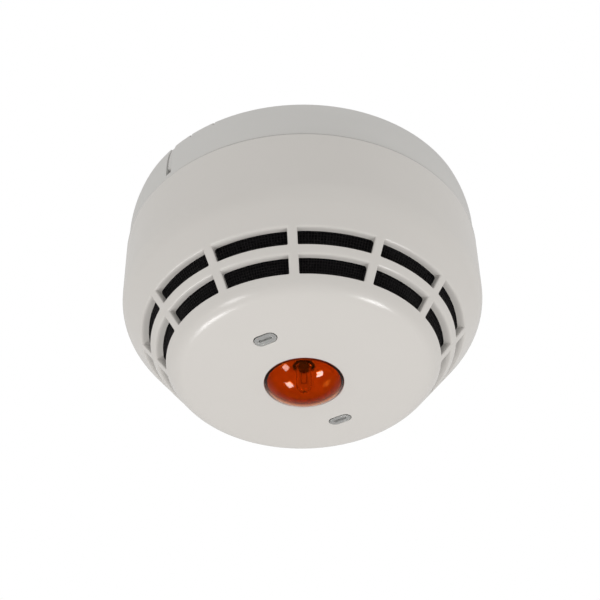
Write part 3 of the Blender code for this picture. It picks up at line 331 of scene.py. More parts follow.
class EffectLibrary:
    """Node groups that the finishes share, each made once."""

    def __init__(self) -> None:
        """Start with no groups made."""
        self.made: dict[Effect, bpy.types.NodeTree] = {}

    def get(self, effect: Effect) -> bpy.types.NodeTree:
        """Group of an effect, built the first time it is asked for."""
        if effect not in self.made:
            maker = {Effect.GRAIN: self._grain, Effect.WEAR: self._wear, Effect.DUST: self._dust}[effect]
            self.made[effect] = maker()
        return self.made[effect]

    @staticmethod
    def _group(name: str, inputs: Sequence[tuple[str, float]], outputs: Sequence[str]) -> bpy.types.NodeTree:
        """Empty group with float inputs and outputs.

        Args:
            name: Name of the group.
            inputs: Name and default value of each input.
            outputs: Name of each output.

        Returns:
            The group, with one input node and one output node.
        """
        tree = bpy.data.node_groups.new(name, "ShaderNodeTree")
        for label, value in inputs:
            made = tree.interface.new_socket(label, in_out="INPUT", socket_type="NodeSocketFloat")
            made.default_value = value
        for label in outputs:
            tree.interface.new_socket(label, in_out="OUTPUT", socket_type="NodeSocketFloat")
        tree.nodes.new("NodeGroupInput")
        tree.nodes.new("NodeGroupOutput")
        return tree

    @staticmethod
    def _ends(tree: bpy.types.NodeTree) -> tuple[bpy.types.Node, bpy.types.Node]:
        """Input and output node of a group."""
        return tree.nodes["Group Input"], tree.nodes["Group Output"]

    @staticmethod
    def _noise(tree: bpy.types.NodeTree, scale: bpy.types.NodeSocket,
               **values: float) -> bpy.types.NodeSocket:
        """Noise in the object's own space.

        Args:
            tree: Group that it is made in.
            scale: Socket that sets its scale.
            values: Values of its other inputs.

        Returns:
            Socket of the noise.
        """
        place = tree.nodes.new("ShaderNodeTexCoord")
        noise = set_inputs(tree.nodes.new("ShaderNodeTexNoise"), values)
        tree.links.new(place.outputs["Object"], noise.inputs["Vector"])
        tree.links.new(scale, noise.inputs["Scale"])
        return noise.outputs["Fac"]

    def _grain(self) -> bpy.types.NodeTree:
        """Fine tool texture of a moulding: a height and a slow mottle."""
        tree = self._group(Effect.GRAIN.value, [("Grain Scale", 2500.0), ("Mottle Scale", 45.0)],
                           ["Height", "Mottle"])
        start, end = self._ends(tree)
        fine = self._noise(tree, start.outputs["Grain Scale"], Detail=3.0)
        coarse = self._noise(tree, start.outputs["Mottle Scale"], Detail=4.0, Roughness=0.55)
        tree.links.new(fine, end.inputs["Height"])
        tree.links.new(coarse, end.inputs["Mottle"])
        return tree

    def _wear(self) -> bpy.types.NodeTree:
        """Mask that is high on worn edges, broken up by noise."""
        tree = self._group(Effect.WEAR.value, [("Low", 0.52), ("High", 0.62), ("Break Scale", 400.0)],
                           ["Mask"])
        start, end = self._ends(tree)
        geometry = tree.nodes.new("ShaderNodeNewGeometry")
        ramp = tree.nodes.new("ShaderNodeMapRange")
        tree.links.new(geometry.outputs["Pointiness"], ramp.inputs["Value"])
        tree.links.new(start.outputs["Low"], ramp.inputs["From Min"])
        tree.links.new(start.outputs["High"], ramp.inputs["From Max"])
        product = tree.nodes.new("ShaderNodeMath")
        product.operation = "MULTIPLY"
        tree.links.new(ramp.outputs["Result"], product.inputs[0])
        tree.links.new(self._noise(tree, start.outputs["Break Scale"]), product.inputs[1])
        tree.links.new(product.outputs["Value"], end.inputs["Mask"])
        return tree

    def _dust(self) -> bpy.types.NodeTree:
        """Mask of fine specks and thin patches of dust."""
        tree = self._group(Effect.DUST.value, [("Speck Scale", 900.0), ("Threshold", 0.72)], ["Mask"])
        start, end = self._ends(tree)
        above = tree.nodes.new("ShaderNodeMapRange")
        specks = self._noise(tree, start.outputs["Speck Scale"], Detail=6.0)
        tree.links.new(specks, above.inputs["Value"])
        tree.links.new(start.outputs["Threshold"], above.inputs["From Min"])
        tree.links.new(above.outputs["Result"], end.inputs["Mask"])
        return tree


EFFECTS = EffectLibrary()


class NodeWriter:
    """Short calls for wiring one material's nodes."""

    def __init__(self, name: str) -> None:
        """Make the material and find its shader."""
        self.material = bpy.data.materials.new(name)
        self.material.use_nodes = True
        self.tree = self.material.node_tree
        self.shader = self.tree.nodes["Principled BSDF"]

    def add(self, kind: str, **values: float) -> bpy.types.Node:
        """New node with values set on its named inputs."""
        return set_inputs(self.tree.nodes.new(kind), values)

    def effect(self, effect: Effect, **values: float) -> bpy.types.Node:
        """Group node of a shared effect with its own values."""
        node = self.tree.nodes.new("ShaderNodeGroup")
        node.node_tree = EFFECTS.get(effect)
        return set_inputs(node, values)

    def link(self, source: bpy.types.NodeSocket, target: bpy.types.NodeSocket) -> None:
        """Join two sockets."""
        self.tree.links.new(source, target)

    def mix(self, factor: bpy.types.NodeSocket, first: Sequence[float] | bpy.types.NodeSocket,
            second: Sequence[float]) -> bpy.types.NodeSocket:
        """Colour between two colours.

        Args:
            factor: Socket that drives the mix.
            first: Colour or colour socket at zero.
            second: Colour at one.

        Returns:
            The mixed colour's socket.
        """
        node = self.tree.nodes.new("ShaderNodeMix")
        node.data_type = "RGBA"
        self.link(factor, node.inputs["Factor"])
        if isinstance(first, bpy.types.NodeSocket):
            self.link(first, node.inputs[6])
        else:
            node.inputs[6].default_value = (*first, 1.0)
        node.inputs[7].default_value = (*second, 1.0)
        return node.outputs[2]

    def scaled(self, source: bpy.types.NodeSocket, low: float, high: float) -> bpy.types.NodeSocket:
        """Value from 0..1 mapped to a range."""
        node = self.add("ShaderNodeMapRange", To_Min=low, To_Max=high)
        self.link(source, node.inputs["Value"])
        return node.outputs["Result"]

    def paint(self, colour: bpy.types.NodeSocket) -> None:
        """Feed a colour into the shader."""
        self.link(colour, self.shader.inputs["Base Color"])

    def surface(self, grain: bpy.types.Node, low: float, high: float, depth: float) -> None:
        """Let a grain drive the roughness and the bump.

        Args:
            grain: Node of the grain effect.
            low: Least roughness.
            high: Greatest roughness.
            depth: Height of the bump in millimetres.
        """
        self.link(self.scaled(grain.outputs["Mottle"], low, high), self.shader.inputs["Roughness"])
        self.bump(grain.outputs["Height"], depth)

    def bump(self, height: bpy.types.NodeSocket, distance: float) -> None:
        """Feed a height into the shader's normal; the distance is in millimetres."""
        node = self.add("ShaderNodeBump", Strength=1.0, Distance=distance * MM)
        self.link(height, node.inputs["Height"])
        self.link(node.outputs["Normal"], self.shader.inputs["Normal"])

    def fixed(self, **values: float) -> None:
        """Constants on the shader's own sockets."""
        set_inputs(self.shader, values)


def shade(colour: Sequence[float], factor: float) -> tuple[float, ...]:
    """Colour made darker or lighter by a factor."""
    return tuple(min(1.0, channel * factor) for channel in colour)


DUST_GREY = (0.42, 0.40, 0.36)
ROUGHNESS_SWING = 0.05   # how far a moulding's roughness wanders each way


@dataclass(frozen=True)
class MouldedPlastic:
    """Opaque moulded plastic with a tool texture, a slow mottle and paler worn edges."""

    name: str
    colour: tuple[float, float, float]
    roughness: float = 0.35
    mottle: float = 0.03
    grain_depth: float = 0.006
    grain_scale: float = 2500.0
    wear: float = 1.06
    dust: float = 0.0

    def build(self) -> bpy.types.Material:
        """Make the material."""
        nodes = NodeWriter(self.name)
        grain = nodes.effect(Effect.GRAIN, Grain_Scale=self.grain_scale)
        colour = nodes.mix(grain.outputs["Mottle"], shade(self.colour, 1 - self.mottle),
                           shade(self.colour, 1 + self.mottle))
        wear = nodes.effect(Effect.WEAR)
        colour = nodes.mix(wear.outputs["Mask"], colour, shade(self.colour, self.wear))
        if self.dust:
            dust = nodes.effect(Effect.DUST)
            amount = nodes.scaled(dust.outputs["Mask"], 0.0, self.dust)
            colour = nodes.mix(amount, colour, DUST_GREY)
        nodes.paint(colour)
        nodes.surface(grain, self.roughness - ROUGHNESS_SWING, self.roughness + ROUGHNESS_SWING,
                      self.grain_depth)
        return nodes.material


@dataclass(frozen=True)
class ClearPlastic:
    """Transparent moulding or glass with faint flow marks."""

    name: str
    colour: tuple[float, float, float]
    roughness: float = 0.03
    bend: float = 1.49
    clarity: float = 1.0
    ripple: float = 0.004
    ripple_scale: float = 120.0

    def build(self) -> bpy.types.Material:
        """Make the material."""
        nodes = NodeWriter(self.name)
        nodes.fixed(Transmission_Weight=self.clarity, IOR=self.bend, Metallic=0.0)
        grain = nodes.effect(Effect.GRAIN, Grain_Scale=self.ripple_scale)
        nodes.paint(nodes.mix(grain.outputs["Mottle"], shade(self.colour, 0.95), shade(self.colour, 1.03)))
        nodes.surface(grain, self.roughness * 0.6, self.roughness * 1.4, self.ripple)
        return nodes.material


@dataclass(frozen=True)
class WorkedMetal:
    """Metal with fine drawn lines or plating variation and darker spots."""

    name: str
    colour: tuple[float, float, float]
    roughness: float = 0.3
    tarnish: tuple[float, float, float] = (0.2, 0.18, 0.15)
    tarnish_share: float = 0.25
    grain_depth: float = 0.004

    def build(self) -> bpy.types.Material:
        """Make the material."""
        nodes = NodeWriter(self.name)
        nodes.fixed(Metallic=1.0)
        grain = nodes.effect(Effect.GRAIN, Grain_Scale=1800.0, Mottle_Scale=160.0)
        share = nodes.scaled(grain.outputs["Mottle"], 0.0, self.tarnish_share)
        nodes.paint(nodes.mix(share, self.colour, self.tarnish))
        nodes.surface(grain, self.roughness * 0.7, self.roughness * 1.3, self.grain_depth)
        return nodes.material


@dataclass(frozen=True)
class CircuitLaminate:
    """Green solder mask over a glass weave, with faint tracks under it."""

    name: str
    colour: tuple[float, float, float]
    track_colour: tuple[float, float, float]
    track_scale: float = 260.0

    def build(self) -> bpy.types.Material:
        """Make the material."""
        nodes = NodeWriter(self.name)
        place = nodes.add("ShaderNodeTexCoord")
        tracks = nodes.add("ShaderNodeTexBrick", Scale=self.track_scale, Mortar_Size=0.03)
        nodes.link(place.outputs["Object"], tracks.inputs["Vector"])
        nodes.paint(nodes.mix(tracks.outputs["Fac"], self.colour, self.track_colour))
        weave = nodes.add("ShaderNodeTexChecker", Scale=1400.0)
        nodes.link(place.outputs["Object"], weave.inputs["Vector"])
        nodes.link(nodes.scaled(weave.outputs["Fac"], 0.32, 0.42), nodes.shader.inputs["Roughness"])
        nodes.bump(tracks.outputs["Fac"], 0.03)
        return nodes.material


Finish = MouldedPlastic | ClearPlastic | WorkedMetal | CircuitLaminate


# Finishes of the object's own pieces

COVER_WHITE = MouldedPlastic("cover_white", (0.70, 0.68, 0.653), roughness=0.2, mottle=0.012)
BASE_WHITE = MouldedPlastic("base_white", (0.655, 0.65, 0.635), roughness=0.42, mottle=0.015)
INNER_WHITE = MouldedPlastic("inner_white", (0.55, 0.54, 0.51), roughness=0.48, mottle=0.03, dust=0.2)
MESH_BLACK = MouldedPlastic("mesh_black", (0.021, 0.019, 0.021), roughness=0.5, wear=1.5)
DECK_BLACK = MouldedPlastic("deck_black", (0.016, 0.016, 0.017), roughness=0.5, mottle=0.2, wear=1.6)
SLEEVE_BLUE = MouldedPlastic("sleeve_blue", (0.02, 0.03, 0.09), roughness=0.3, mottle=0.1)
BEAD_EPOXY = MouldedPlastic("bead_epoxy", (0.015, 0.03, 0.016), roughness=0.2, grain_scale=600.0)
SEAL_RUBBER = MouldedPlastic("seal_rubber", (0.02, 0.02, 0.02), roughness=0.75, mottle=0.2)
LED_RED = MouldedPlastic("led_red", (0.45, 0.04, 0.03), roughness=0.2, grain_scale=500.0)
SIGNAL_AMBER = ClearPlastic("signal_amber", (0.95, 0.24, 0.02), roughness=0.02)
BULB_GLASS = ClearPlastic("bulb_glass", (0.97, 0.97, 0.96), roughness=0.01, bend=1.5)
GUIDE_CLEAR = ClearPlastic("guide_clear", (0.86, 0.87, 0.86), roughness=0.08, clarity=0.6)
CONTACT_BRASS = WorkedMetal("contact_brass", (0.75, 0.56, 0.27), roughness=0.28, tarnish=(0.35, 0.22, 0.09))
SCREW_ZINC = WorkedMetal("screw_zinc", (0.66, 0.67, 0.69), roughness=0.3, tarnish=(0.4, 0.38, 0.33))
BOWL_COAT = MouldedPlastic("bowl_coat", (0.82, 0.80, 0.78), roughness=0.3, mottle=0.03)
WIRE_TUNGSTEN = WorkedMetal("wire_tungsten", (0.35, 0.34, 0.33), roughness=0.35)
BOARD_GREEN = CircuitLaminate("board_green", (0.015, 0.12, 0.04), (0.04, 0.2, 0.07))

NODE_FINISHES = {
    "base_contact": CONTACT_BRASS, "contact_blade": CONTACT_BRASS, "clamp_plate": SCREW_ZINC,
    "terminal_screw": SCREW_ZINC, "chassis_screw": SCREW_ZINC, "head_chassis": INNER_WHITE,
    "sensor_deck": DECK_BLACK, "main_board": BOARD_GREEN, "front_board": BOARD_GREEN,
    "board_link": DECK_BLACK, "thermistor": BEAD_EPOXY, "controller_chip": DECK_BLACK,
    "capacitor": SLEEVE_BLUE, "lamp_holder": DECK_BLACK, "lens_gasket": SEAL_RUBBER,
    "indicator_led": LED_RED,
}


class Wardrobe:
    """Makes each finish's material once and dresses pieces in it."""

    def __init__(self) -> None:
        """Start with no materials."""
        self.made: dict[str, bpy.types.Material] = {}

    def material(self, finish: Finish) -> bpy.types.Material:
        """Material of a finish."""
        if finish.name not in self.made:
            self.made[finish.name] = finish.build()
        return self.made[finish.name]

    def dress(self, piece: bpy.types.Object, finish: Finish) -> None:
        """Give a piece one material."""
        piece.data.materials.clear()
        piece.data.materials.append(self.material(finish))

    def dress_nodes(self) -> None:
        """Give every node that stays visible the finish of its kind."""
        for name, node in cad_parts.items():
            kind = name.rstrip("0123456789").rstrip("_")
            if not node.hide_render and kind in NODE_FINISHES:
                self.dress(node, NODE_FINISHES[kind])
                LOG.info("dressed %s", name)


WARDROBE = Wardrobe()


def settle(piece: bpy.types.Object, body: Body, slot: str, finish: Finish, *nodes: str) -> None:
    """Dress a piece, put it on its body and hide the nodes that it stands for.

    Args:
        piece: Finished piece.
        body: Body that it rides on.
        slot: Name of the piece's material slot; not used.
        finish: Finish of the piece.
        nodes: Nodes that it replaces.
    """
    WARDROBE.dress(piece, finish)
    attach(piece, body.value)
    if nodes:
        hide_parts(*nodes)
    LOG.info("made %s: %d faces", piece.name, len(piece.data.polygons))


# Overall form of the head

@dataclass
class HeadForm:
    """Wall, cone and domed face of the head."""

    wall_height: float = 24.1
    cone_height: float = 23.7
    face_radius: float = 40.5
    dome_radius: float = 248.0
    shoulder_fillet: float = 12.0
    face_fillet: float = 7.0
    wall: float = 2.3
    rim_band: float = 4.0
    radius: float = field(init=False)
    rim: float = field(init=False)

    def __post_init__(self) -> None:
        """Read the wall's radius and the rim's depth from the cover node."""
        _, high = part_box("head_cover")
        self.radius = high.x / MM
        self.rim = -high.z / MM

    @property
    def shoulder(self) -> float:
        """Depth of the corner between wall and cone."""
        return self.rim + self.wall_height

    @property
    def face_corner(self) -> float:
        """Depth of the corner between cone and face."""
        return self.shoulder + self.cone_height

    @property
    def apex(self) -> float:
        """Depth of the face's lowest point."""
        return self.face_corner + self.dome_radius - math.sqrt(self.dome_radius ** 2 - self.face_radius ** 2)

    @property
    def slope(self) -> float:
        """Radius that the cone loses for each unit of depth."""
        return (self.radius - self.face_radius) / self.cone_height

    @property
    def slant(self) -> float:
        """Length along the cone for each unit of depth."""
        return math.hypot(1.0, self.slope)

    def cone_radius(self, depth: float, inset: float = 0.0) -> float:
        """Radius of the cone, or of the surface that lies inset inside it."""
        return self.radius - (depth - self.shoulder) * self.slope - inset * self.slant

    def face_depth(self, radius: float, inset: float = 0.0) -> float:
        """Depth of the face, or of the surface that lies inset above it."""
        return self.apex - self.dome_radius + math.sqrt((self.dome_radius - inset) ** 2 - radius ** 2)

    def corners(self, inset: float) -> tuple[Plan, Plan]:
        """Shoulder corner and face corner at an inset, as (radius, depth)."""
        wall = self.radius - inset
        face_slope = -self.face_radius / (self.dome_radius - (self.apex - self.face_corner))
        cone_shift = inset * self.slant
        shoulder = self.shoulder + (self.radius - cone_shift - wall) / self.slope
        face_shift = inset * math.hypot(1.0, face_slope)
        run = (cone_shift - face_shift * self.slope) / (1.0 + face_slope * self.slope)
        corner = (self.face_radius - run, self.face_corner - face_shift - face_slope * run)
        return (wall, shoulder), corner

    def shoulder_rows(self, inset: float, end: float, steps: int = 10) -> Outline:
        """Wall, shoulder fillet and cone down to a depth, as profile points."""
        shoulder, corner = self.corners(inset)
        points = fillet(shoulder, (shoulder[0], self.rim), corner, self.shoulder_fillet - inset, steps)
        first = points[0][1]
        wall = [(shoulder[0], blend_values(self.rim + self.rim_band, first, share / 3)) for share in range(3)]
        middle = (points[-1][1] + end) / 2
        cone = [(self.cone_radius(depth, inset), depth) for depth in (middle, end)]
        return wall + points + cone

    def face_rows(self, inset: float, start: float, radii: Sequence[float], steps: int = 8) -> Outline:
        """Cone from a depth, face fillet and dome at the given radii, as profile points."""
        shoulder, corner = self.corners(inset)
        reach = self.face_fillet - inset
        inward = (corner[0] - reach, self.face_depth(corner[0] - reach, inset))
        points = [(self.cone_radius(start, inset), start)]
        points += fillet(corner, shoulder, inward, reach, steps)
        return points + [(radius, self.face_depth(radius, inset)) for radius in radii]


SlotPoint = tuple[float, float, float, float]


def slot_loop(corner: float, expand: float, along: int, across: int, arc: int = 2) -> list[SlotPoint]:
    """Rounded slot as shares and insets, so that any curved surface can place its points.

    Each point is (share from left to right, inset from that side, share from top to bottom, inset
    from that end). Each side starts in the middle of a corner's arc.

    Args:
        corner: Corner radius of the slot.
        expand: Distance outside the slot's edge.
        along: Steps on the top and bottom sides.
        across: Steps on the left and right sides.
        arc: Steps in half a corner's arc.

    Returns:
        The points, from the top left corner, with left to right on top.
    """
    def bend(index: int) -> tuple[float, float]:
        """Insets from the side and from the end, for a step of an arc that ends at the top."""
        angle = math.radians(45.0 + 45.0 * index / arc)
        reach = corner + expand
        return corner - reach * math.cos(angle), corner - reach * math.sin(angle)

    points: list[SlotPoint] = []
    for side in range(4):
        steps = along if side % 2 == 0 else across
        for index in range(steps):
            if index < arc:
                share, (main, end) = 0.0, bend(index)
            elif index <= steps - arc:
                share, (main, end) = (index - arc) / max(1, steps - 2 * arc), (corner, -expand)
            else:
                share, (main, end) = 1.0, bend(steps - index)
            points.append({0: (share, main, 0.0, end), 1: (1.0, end, share, main),
                           2: (1 - share, main, 1.0, end), 3: (0.0, end, 1 - share, main)}[side])
    return points


def border_shares(along: int, across: int) -> Outline:
    """Shares round a four-sided border, in the order of a slot's loop."""
    points = [(index / along, 0.0) for index in range(along)]
    points += [(1.0, index / across) for index in range(across)]
    points += [(1 - index / along, 1.0) for index in range(along)]
    return points + [(0.0, 1 - index / across) for index in range(across)]


def edge_steps(rounding: float, steps: int = 3) -> Outline:
    """Expand and sink of each step of a rounded edge, from the surface into the wall."""
    points = []
    for index in range(steps + 1):
        angle = math.radians(90.0 * index / steps)
        points.append((rounding * (1 - math.sin(angle)), rounding * (1 - math.cos(angle))))
    return points


@dataclass
class HeadCover:
    """Outer shell of the head, with two rows of vents, two indicator windows and the lens hole."""

    form: HeadForm
    columns: int = 144
    vent_count: int = 12
    rib_width: float = 3.0
    vent_rows: tuple[Plan, Plan] = ((48.4, 52.49), (54.79, 59.4))
    vent_margin: float = 1.15
    vent_rounding: float = 0.5
    vent_corner: float = 0.35
    vent_flare: float = 0.55
    window_angles: Plan = (-116.0, 64.0)
    window_circle: float = 23.6
    window_size: Plan = (7.8, 4.3)
    window_rounding: float = 0.22
    window_reach: float = 4.5
    front_margin: float = 0.3
    back_margin: float = 0.25
    lens_hole: float = 12.5
    hole_rounding: float = 0.25
    face_radii: tuple[tuple[float, ...], ...] = ((35.5, 33.0, 30.5), (17.0, 15.2, 13.8, 13.1))
    rim_step: float = 0.5
    rim_chamfer: float = 0.2
    snap_drop: float = 5.0
    snap_bead: Plan = (0.8, 1.0)

    @property
    def pitch(self) -> float:
        """Angle from one rib to the next."""
        return 360.0 / self.vent_count

    @property
    def along(self) -> int:
        """Columns in one vent."""
        return self.columns // self.vent_count

    def build(self) -> None:
        """Make the cover."""
        mesh = Mesher()
        levels = self._vent_levels()
        self._upper_strip(mesh, levels[0])
        self._lower_strip(mesh, levels[-1])
        for number, opening in enumerate(self.vent_rows):
            for index in range(self.vent_count):
                middle = SEAM + (index + 0.5) * self.pitch
                self._vent(mesh, middle, opening, (levels[number], levels[number + 1]))
        for angle in self.window_angles:
            self._window(mesh, angle)
        cover = mesh.finish("cover_shell", smooth=40.0, weld=WELD)
        settle(cover, Body.HEAD, "cover_moulding", COVER_WHITE, "head_cover")

    def _vent_levels(self) -> list[float]:
        """Depths where the vent band starts, splits and ends."""
        (top, upper_end), (lower_start, bottom) = self.vent_rows
        return [top - self.vent_margin, (upper_end + lower_start) / 2, bottom + self.vent_margin]

    def _upper_strip(self, mesh: Mesher, end: float) -> None:
        """Rim and wall, from the inside of the vent band round to its outside."""
        form = self.form
        outer = form.shoulder_rows(0.0, end)
        inner = form.shoulder_rows(form.wall, end)
        centre = (form.radius - self.rim_step, form.rim + self.rim_step)
        inside = form.radius - form.wall
        rim = [(inside, form.rim + self.rim_chamfer), (inside + self.rim_chamfer, form.rim)]
        rim += arc_points(centre, self.rim_step, -90.0, 0.0, 4)
        snap = form.rim + self.snap_drop
        reach, half = self.snap_bead
        bead = [(inside, snap + half), (inside - reach, snap + half / 2),
                (inside - reach, snap - half / 2), (inside, snap - half)]
        self._strip(mesh, inner[:0:-1] + bead + rim + outer)

    def _lower_strip(self, mesh: Mesher, start: float) -> None:
        """Face, from the outside of the vent band over the lens hole's edge to its inside."""
        form = self.form
        near, far = self.window_circle - self.window_reach, self.window_circle + self.window_reach
        band = [blend_values(far, near, index / 4) for index in range(5)]
        radii = [*self.face_radii[0], *band, *self.face_radii[1]]
        outer = form.face_rows(0.0, start, radii)
        inner = form.face_rows(form.wall, start, radii)
        edge = [(self.lens_hole + grow, form.face_depth(self.lens_hole) - sink)
                for grow, sink in edge_steps(self.hole_rounding, 4)]
        hole = [(self.lens_hole, form.face_depth(self.lens_hole, form.wall))]
        self._strip(mesh, outer + edge + hole + inner[::-1])

    def _strip(self, mesh: Mesher, profile: Outline) -> None:
        """Turn an open profile, leaving out the windows' patches."""
        step = 360.0 / self.columns
        rings = []
        for radius, depth in profile:
            points = [polar(radius, SEAM + step * index) for index in range(self.columns)]
            rings.append(mesh.level(points, depth))
        for row, (first, second) in enumerate(zip(rings, rings[1:])):
            middle = (profile[row][0] + profile[row + 1][0]) / 2
            for index in range(self.columns):
                if not self._in_window(middle, SEAM + step * (index + 0.5)):
                    following = (index + 1) % self.columns
                    mesh.build.faces.new((first[index], first[following], second[following], second[index]))

    def _patch_centre(self, angle: float) -> float:
        """Column angle nearest to a window's angle."""
        step = 360.0 / self.columns
        return SEAM + step * round((angle - SEAM) / step)

    def _in_window(self, radius: float, angle: float) -> bool:
        """Whether a face of the strip lies in a window's patch."""
        if abs(radius - self.window_circle) > self.window_reach:
            return False
        for window in self.window_angles:
            away = (angle - self._patch_centre(window) + 180.0) % 360.0 - 180.0
            if abs(away) < self.pitch / 2:
                return True
        return False

    def _vent(self, mesh: Mesher, middle: float, opening: Plan, cell: Plan) -> None:
        """One vent and the strip of cone around it, from the outer border to the inner border."""
        form, across = self.form, 6
        thickness = form.wall * form.slant
        edges = [(self.vent_rounding + self.front_margin, 0.0)] + edge_steps(self.vent_rounding, 4)
        edges += [(self.vent_flare * 0.6, thickness * 0.6), (self.vent_flare, thickness),
                  (self.vent_flare + self.back_margin, thickness)]
        loops = [mesh.loop(self._vent_loop(middle, opening, expand, sink, across)) for expand, sink in edges]
        outside, inside = (mesh.loop(self._vent_border(middle, cell, inset, across))
                           for inset in (0.0, form.wall))
        mesh.chain([outside, *loops, inside])

    def _vent_border(self, middle: float, cell: Plan, inset: float, across: int) -> list[Point]:
        """Border of a vent's cell on the cone."""
        points = []
        for side, down in border_shares(self.along, across):
            depth = blend_values(cell[0], cell[1], down)
            x, y = polar(self.form.cone_radius(depth, inset), middle + self.pitch * (side - 0.5))
            points.append((x, y, -depth))
        return points

    def _vent_loop(self, middle: float, opening: Plan, expand: float, sink: float,
                   across: int) -> list[Point]:
        """Loop round a vent.

        Args:
            middle: Angle of the vent's middle.
            opening: Depths of its top and bottom edges.
            expand: Distance outside the vent's edge.
            sink: Distance into the wall.
            across: Steps on the left and right sides.

        Returns:
            The loop's points.
        """
        points = []
        for side, side_inset, down, end_inset in slot_loop(self.vent_corner, expand, self.along, across):
            drop = end_inset / self.form.slant
            depth = blend_values(opening[0] + drop, opening[1] - drop, down)
            radius = self.form.cone_radius(depth) - sink
            half = self.pitch / 2 - math.degrees(math.asin((self.rib_width / 2 + side_inset) / radius))
            x, y = polar(radius, middle + blend_values(-half, half, side))
            points.append((x, y, -depth))
        return points

    def _window(self, mesh: Mesher, angle: float) -> None:
        """One indicator window and the patch of face around it."""
        form, across = self.form, 4
        edges = [(self.window_rounding + self.front_margin, 0.0)] + edge_steps(self.window_rounding, 3)
        loops = [mesh.loop(self._window_border(angle, 0.0, across))]
        for expand, sink in edges:
            loops.append(mesh.loop(self._window_loop(angle, expand, sink, across)))
        for expand in (0.0, self.back_margin):
            loops.append(mesh.loop(self._window_loop(angle, expand, form.wall, across)))
        loops.append(mesh.loop(self._window_border(angle, form.wall, across)))
        mesh.chain(loops)

    def _window_border(self, angle: float, inset: float, across: int) -> list[Point]:
        """Border of a window's patch on the face."""
        points = []
        for side, inward in border_shares(self.along, across):
            radius = self.window_circle + self.window_reach * (1 - 2 * inward)
            x, y = polar(radius, self._patch_centre(angle) + self.pitch * (side - 0.5))
            points.append((x, y, -self.form.face_depth(radius, inset)))
        return points

    def _window_loop(self, angle: float, expand: float, sink: float, across: int) -> list[Point]:
        """Loop round a window, expand outside its edge and sink into the wall."""
        length, width = self.window_size
        points = []
        for side, side_inset, inward, end_inset in slot_loop(width / 2, expand, self.along, across):
            away = blend_values(side_inset - length / 2, length / 2 - side_inset, side)
            out = blend_values(width / 2 - end_inset, end_inset - width / 2, inward)
            x, y = turn_outline([(self.window_circle + out, away)], angle)[0]
            points.append((x, y, sink - self.form.face_depth(math.hypot(x, y))))
        return points


@dataclass
class VentMesh:
    """Woven black insect mesh behind the vents."""

    form: HeadForm
    pitch: float = 0.85
    wire: float = 0.3
    gap: float = 0.5

    def build(self) -> None:
        """Make the mesh as a cone of crossing wires."""
        low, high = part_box("vent_screen")
        top, bottom = -high.z / MM, -low.z / MM
        inset = self.form.wall + self.gap + self.wire / 2
        rows = round((bottom - top) * self.form.slant / self.pitch)
        columns = round(2 * math.pi * self.form.cone_radius((top + bottom) / 2, inset) / self.pitch)
        half = self.wire / 2 / self.form.slant
        mesh = Mesher()
        rings = []
        for row in range(rows + 1):
            depth = blend_values(top + half, bottom - half, row / rows)
            radius = self.form.cone_radius(depth, inset)
            rings.append(mesh.level(circle(radius, columns), depth))
        mesh.chain(rings)
        screen = mesh.finish("insect_mesh")
        wires = screen.modifiers.new("wires", "WIREFRAME")
        wires.thickness = self.wire * MM
        wires.use_even_offset = False
        wires.use_boundary = True
        apply_modifiers(screen)
        screen.data.shade_flat()
        settle(screen, Body.HEAD, "vent_mesh", MESH_BLACK, "vent_screen")


# Base

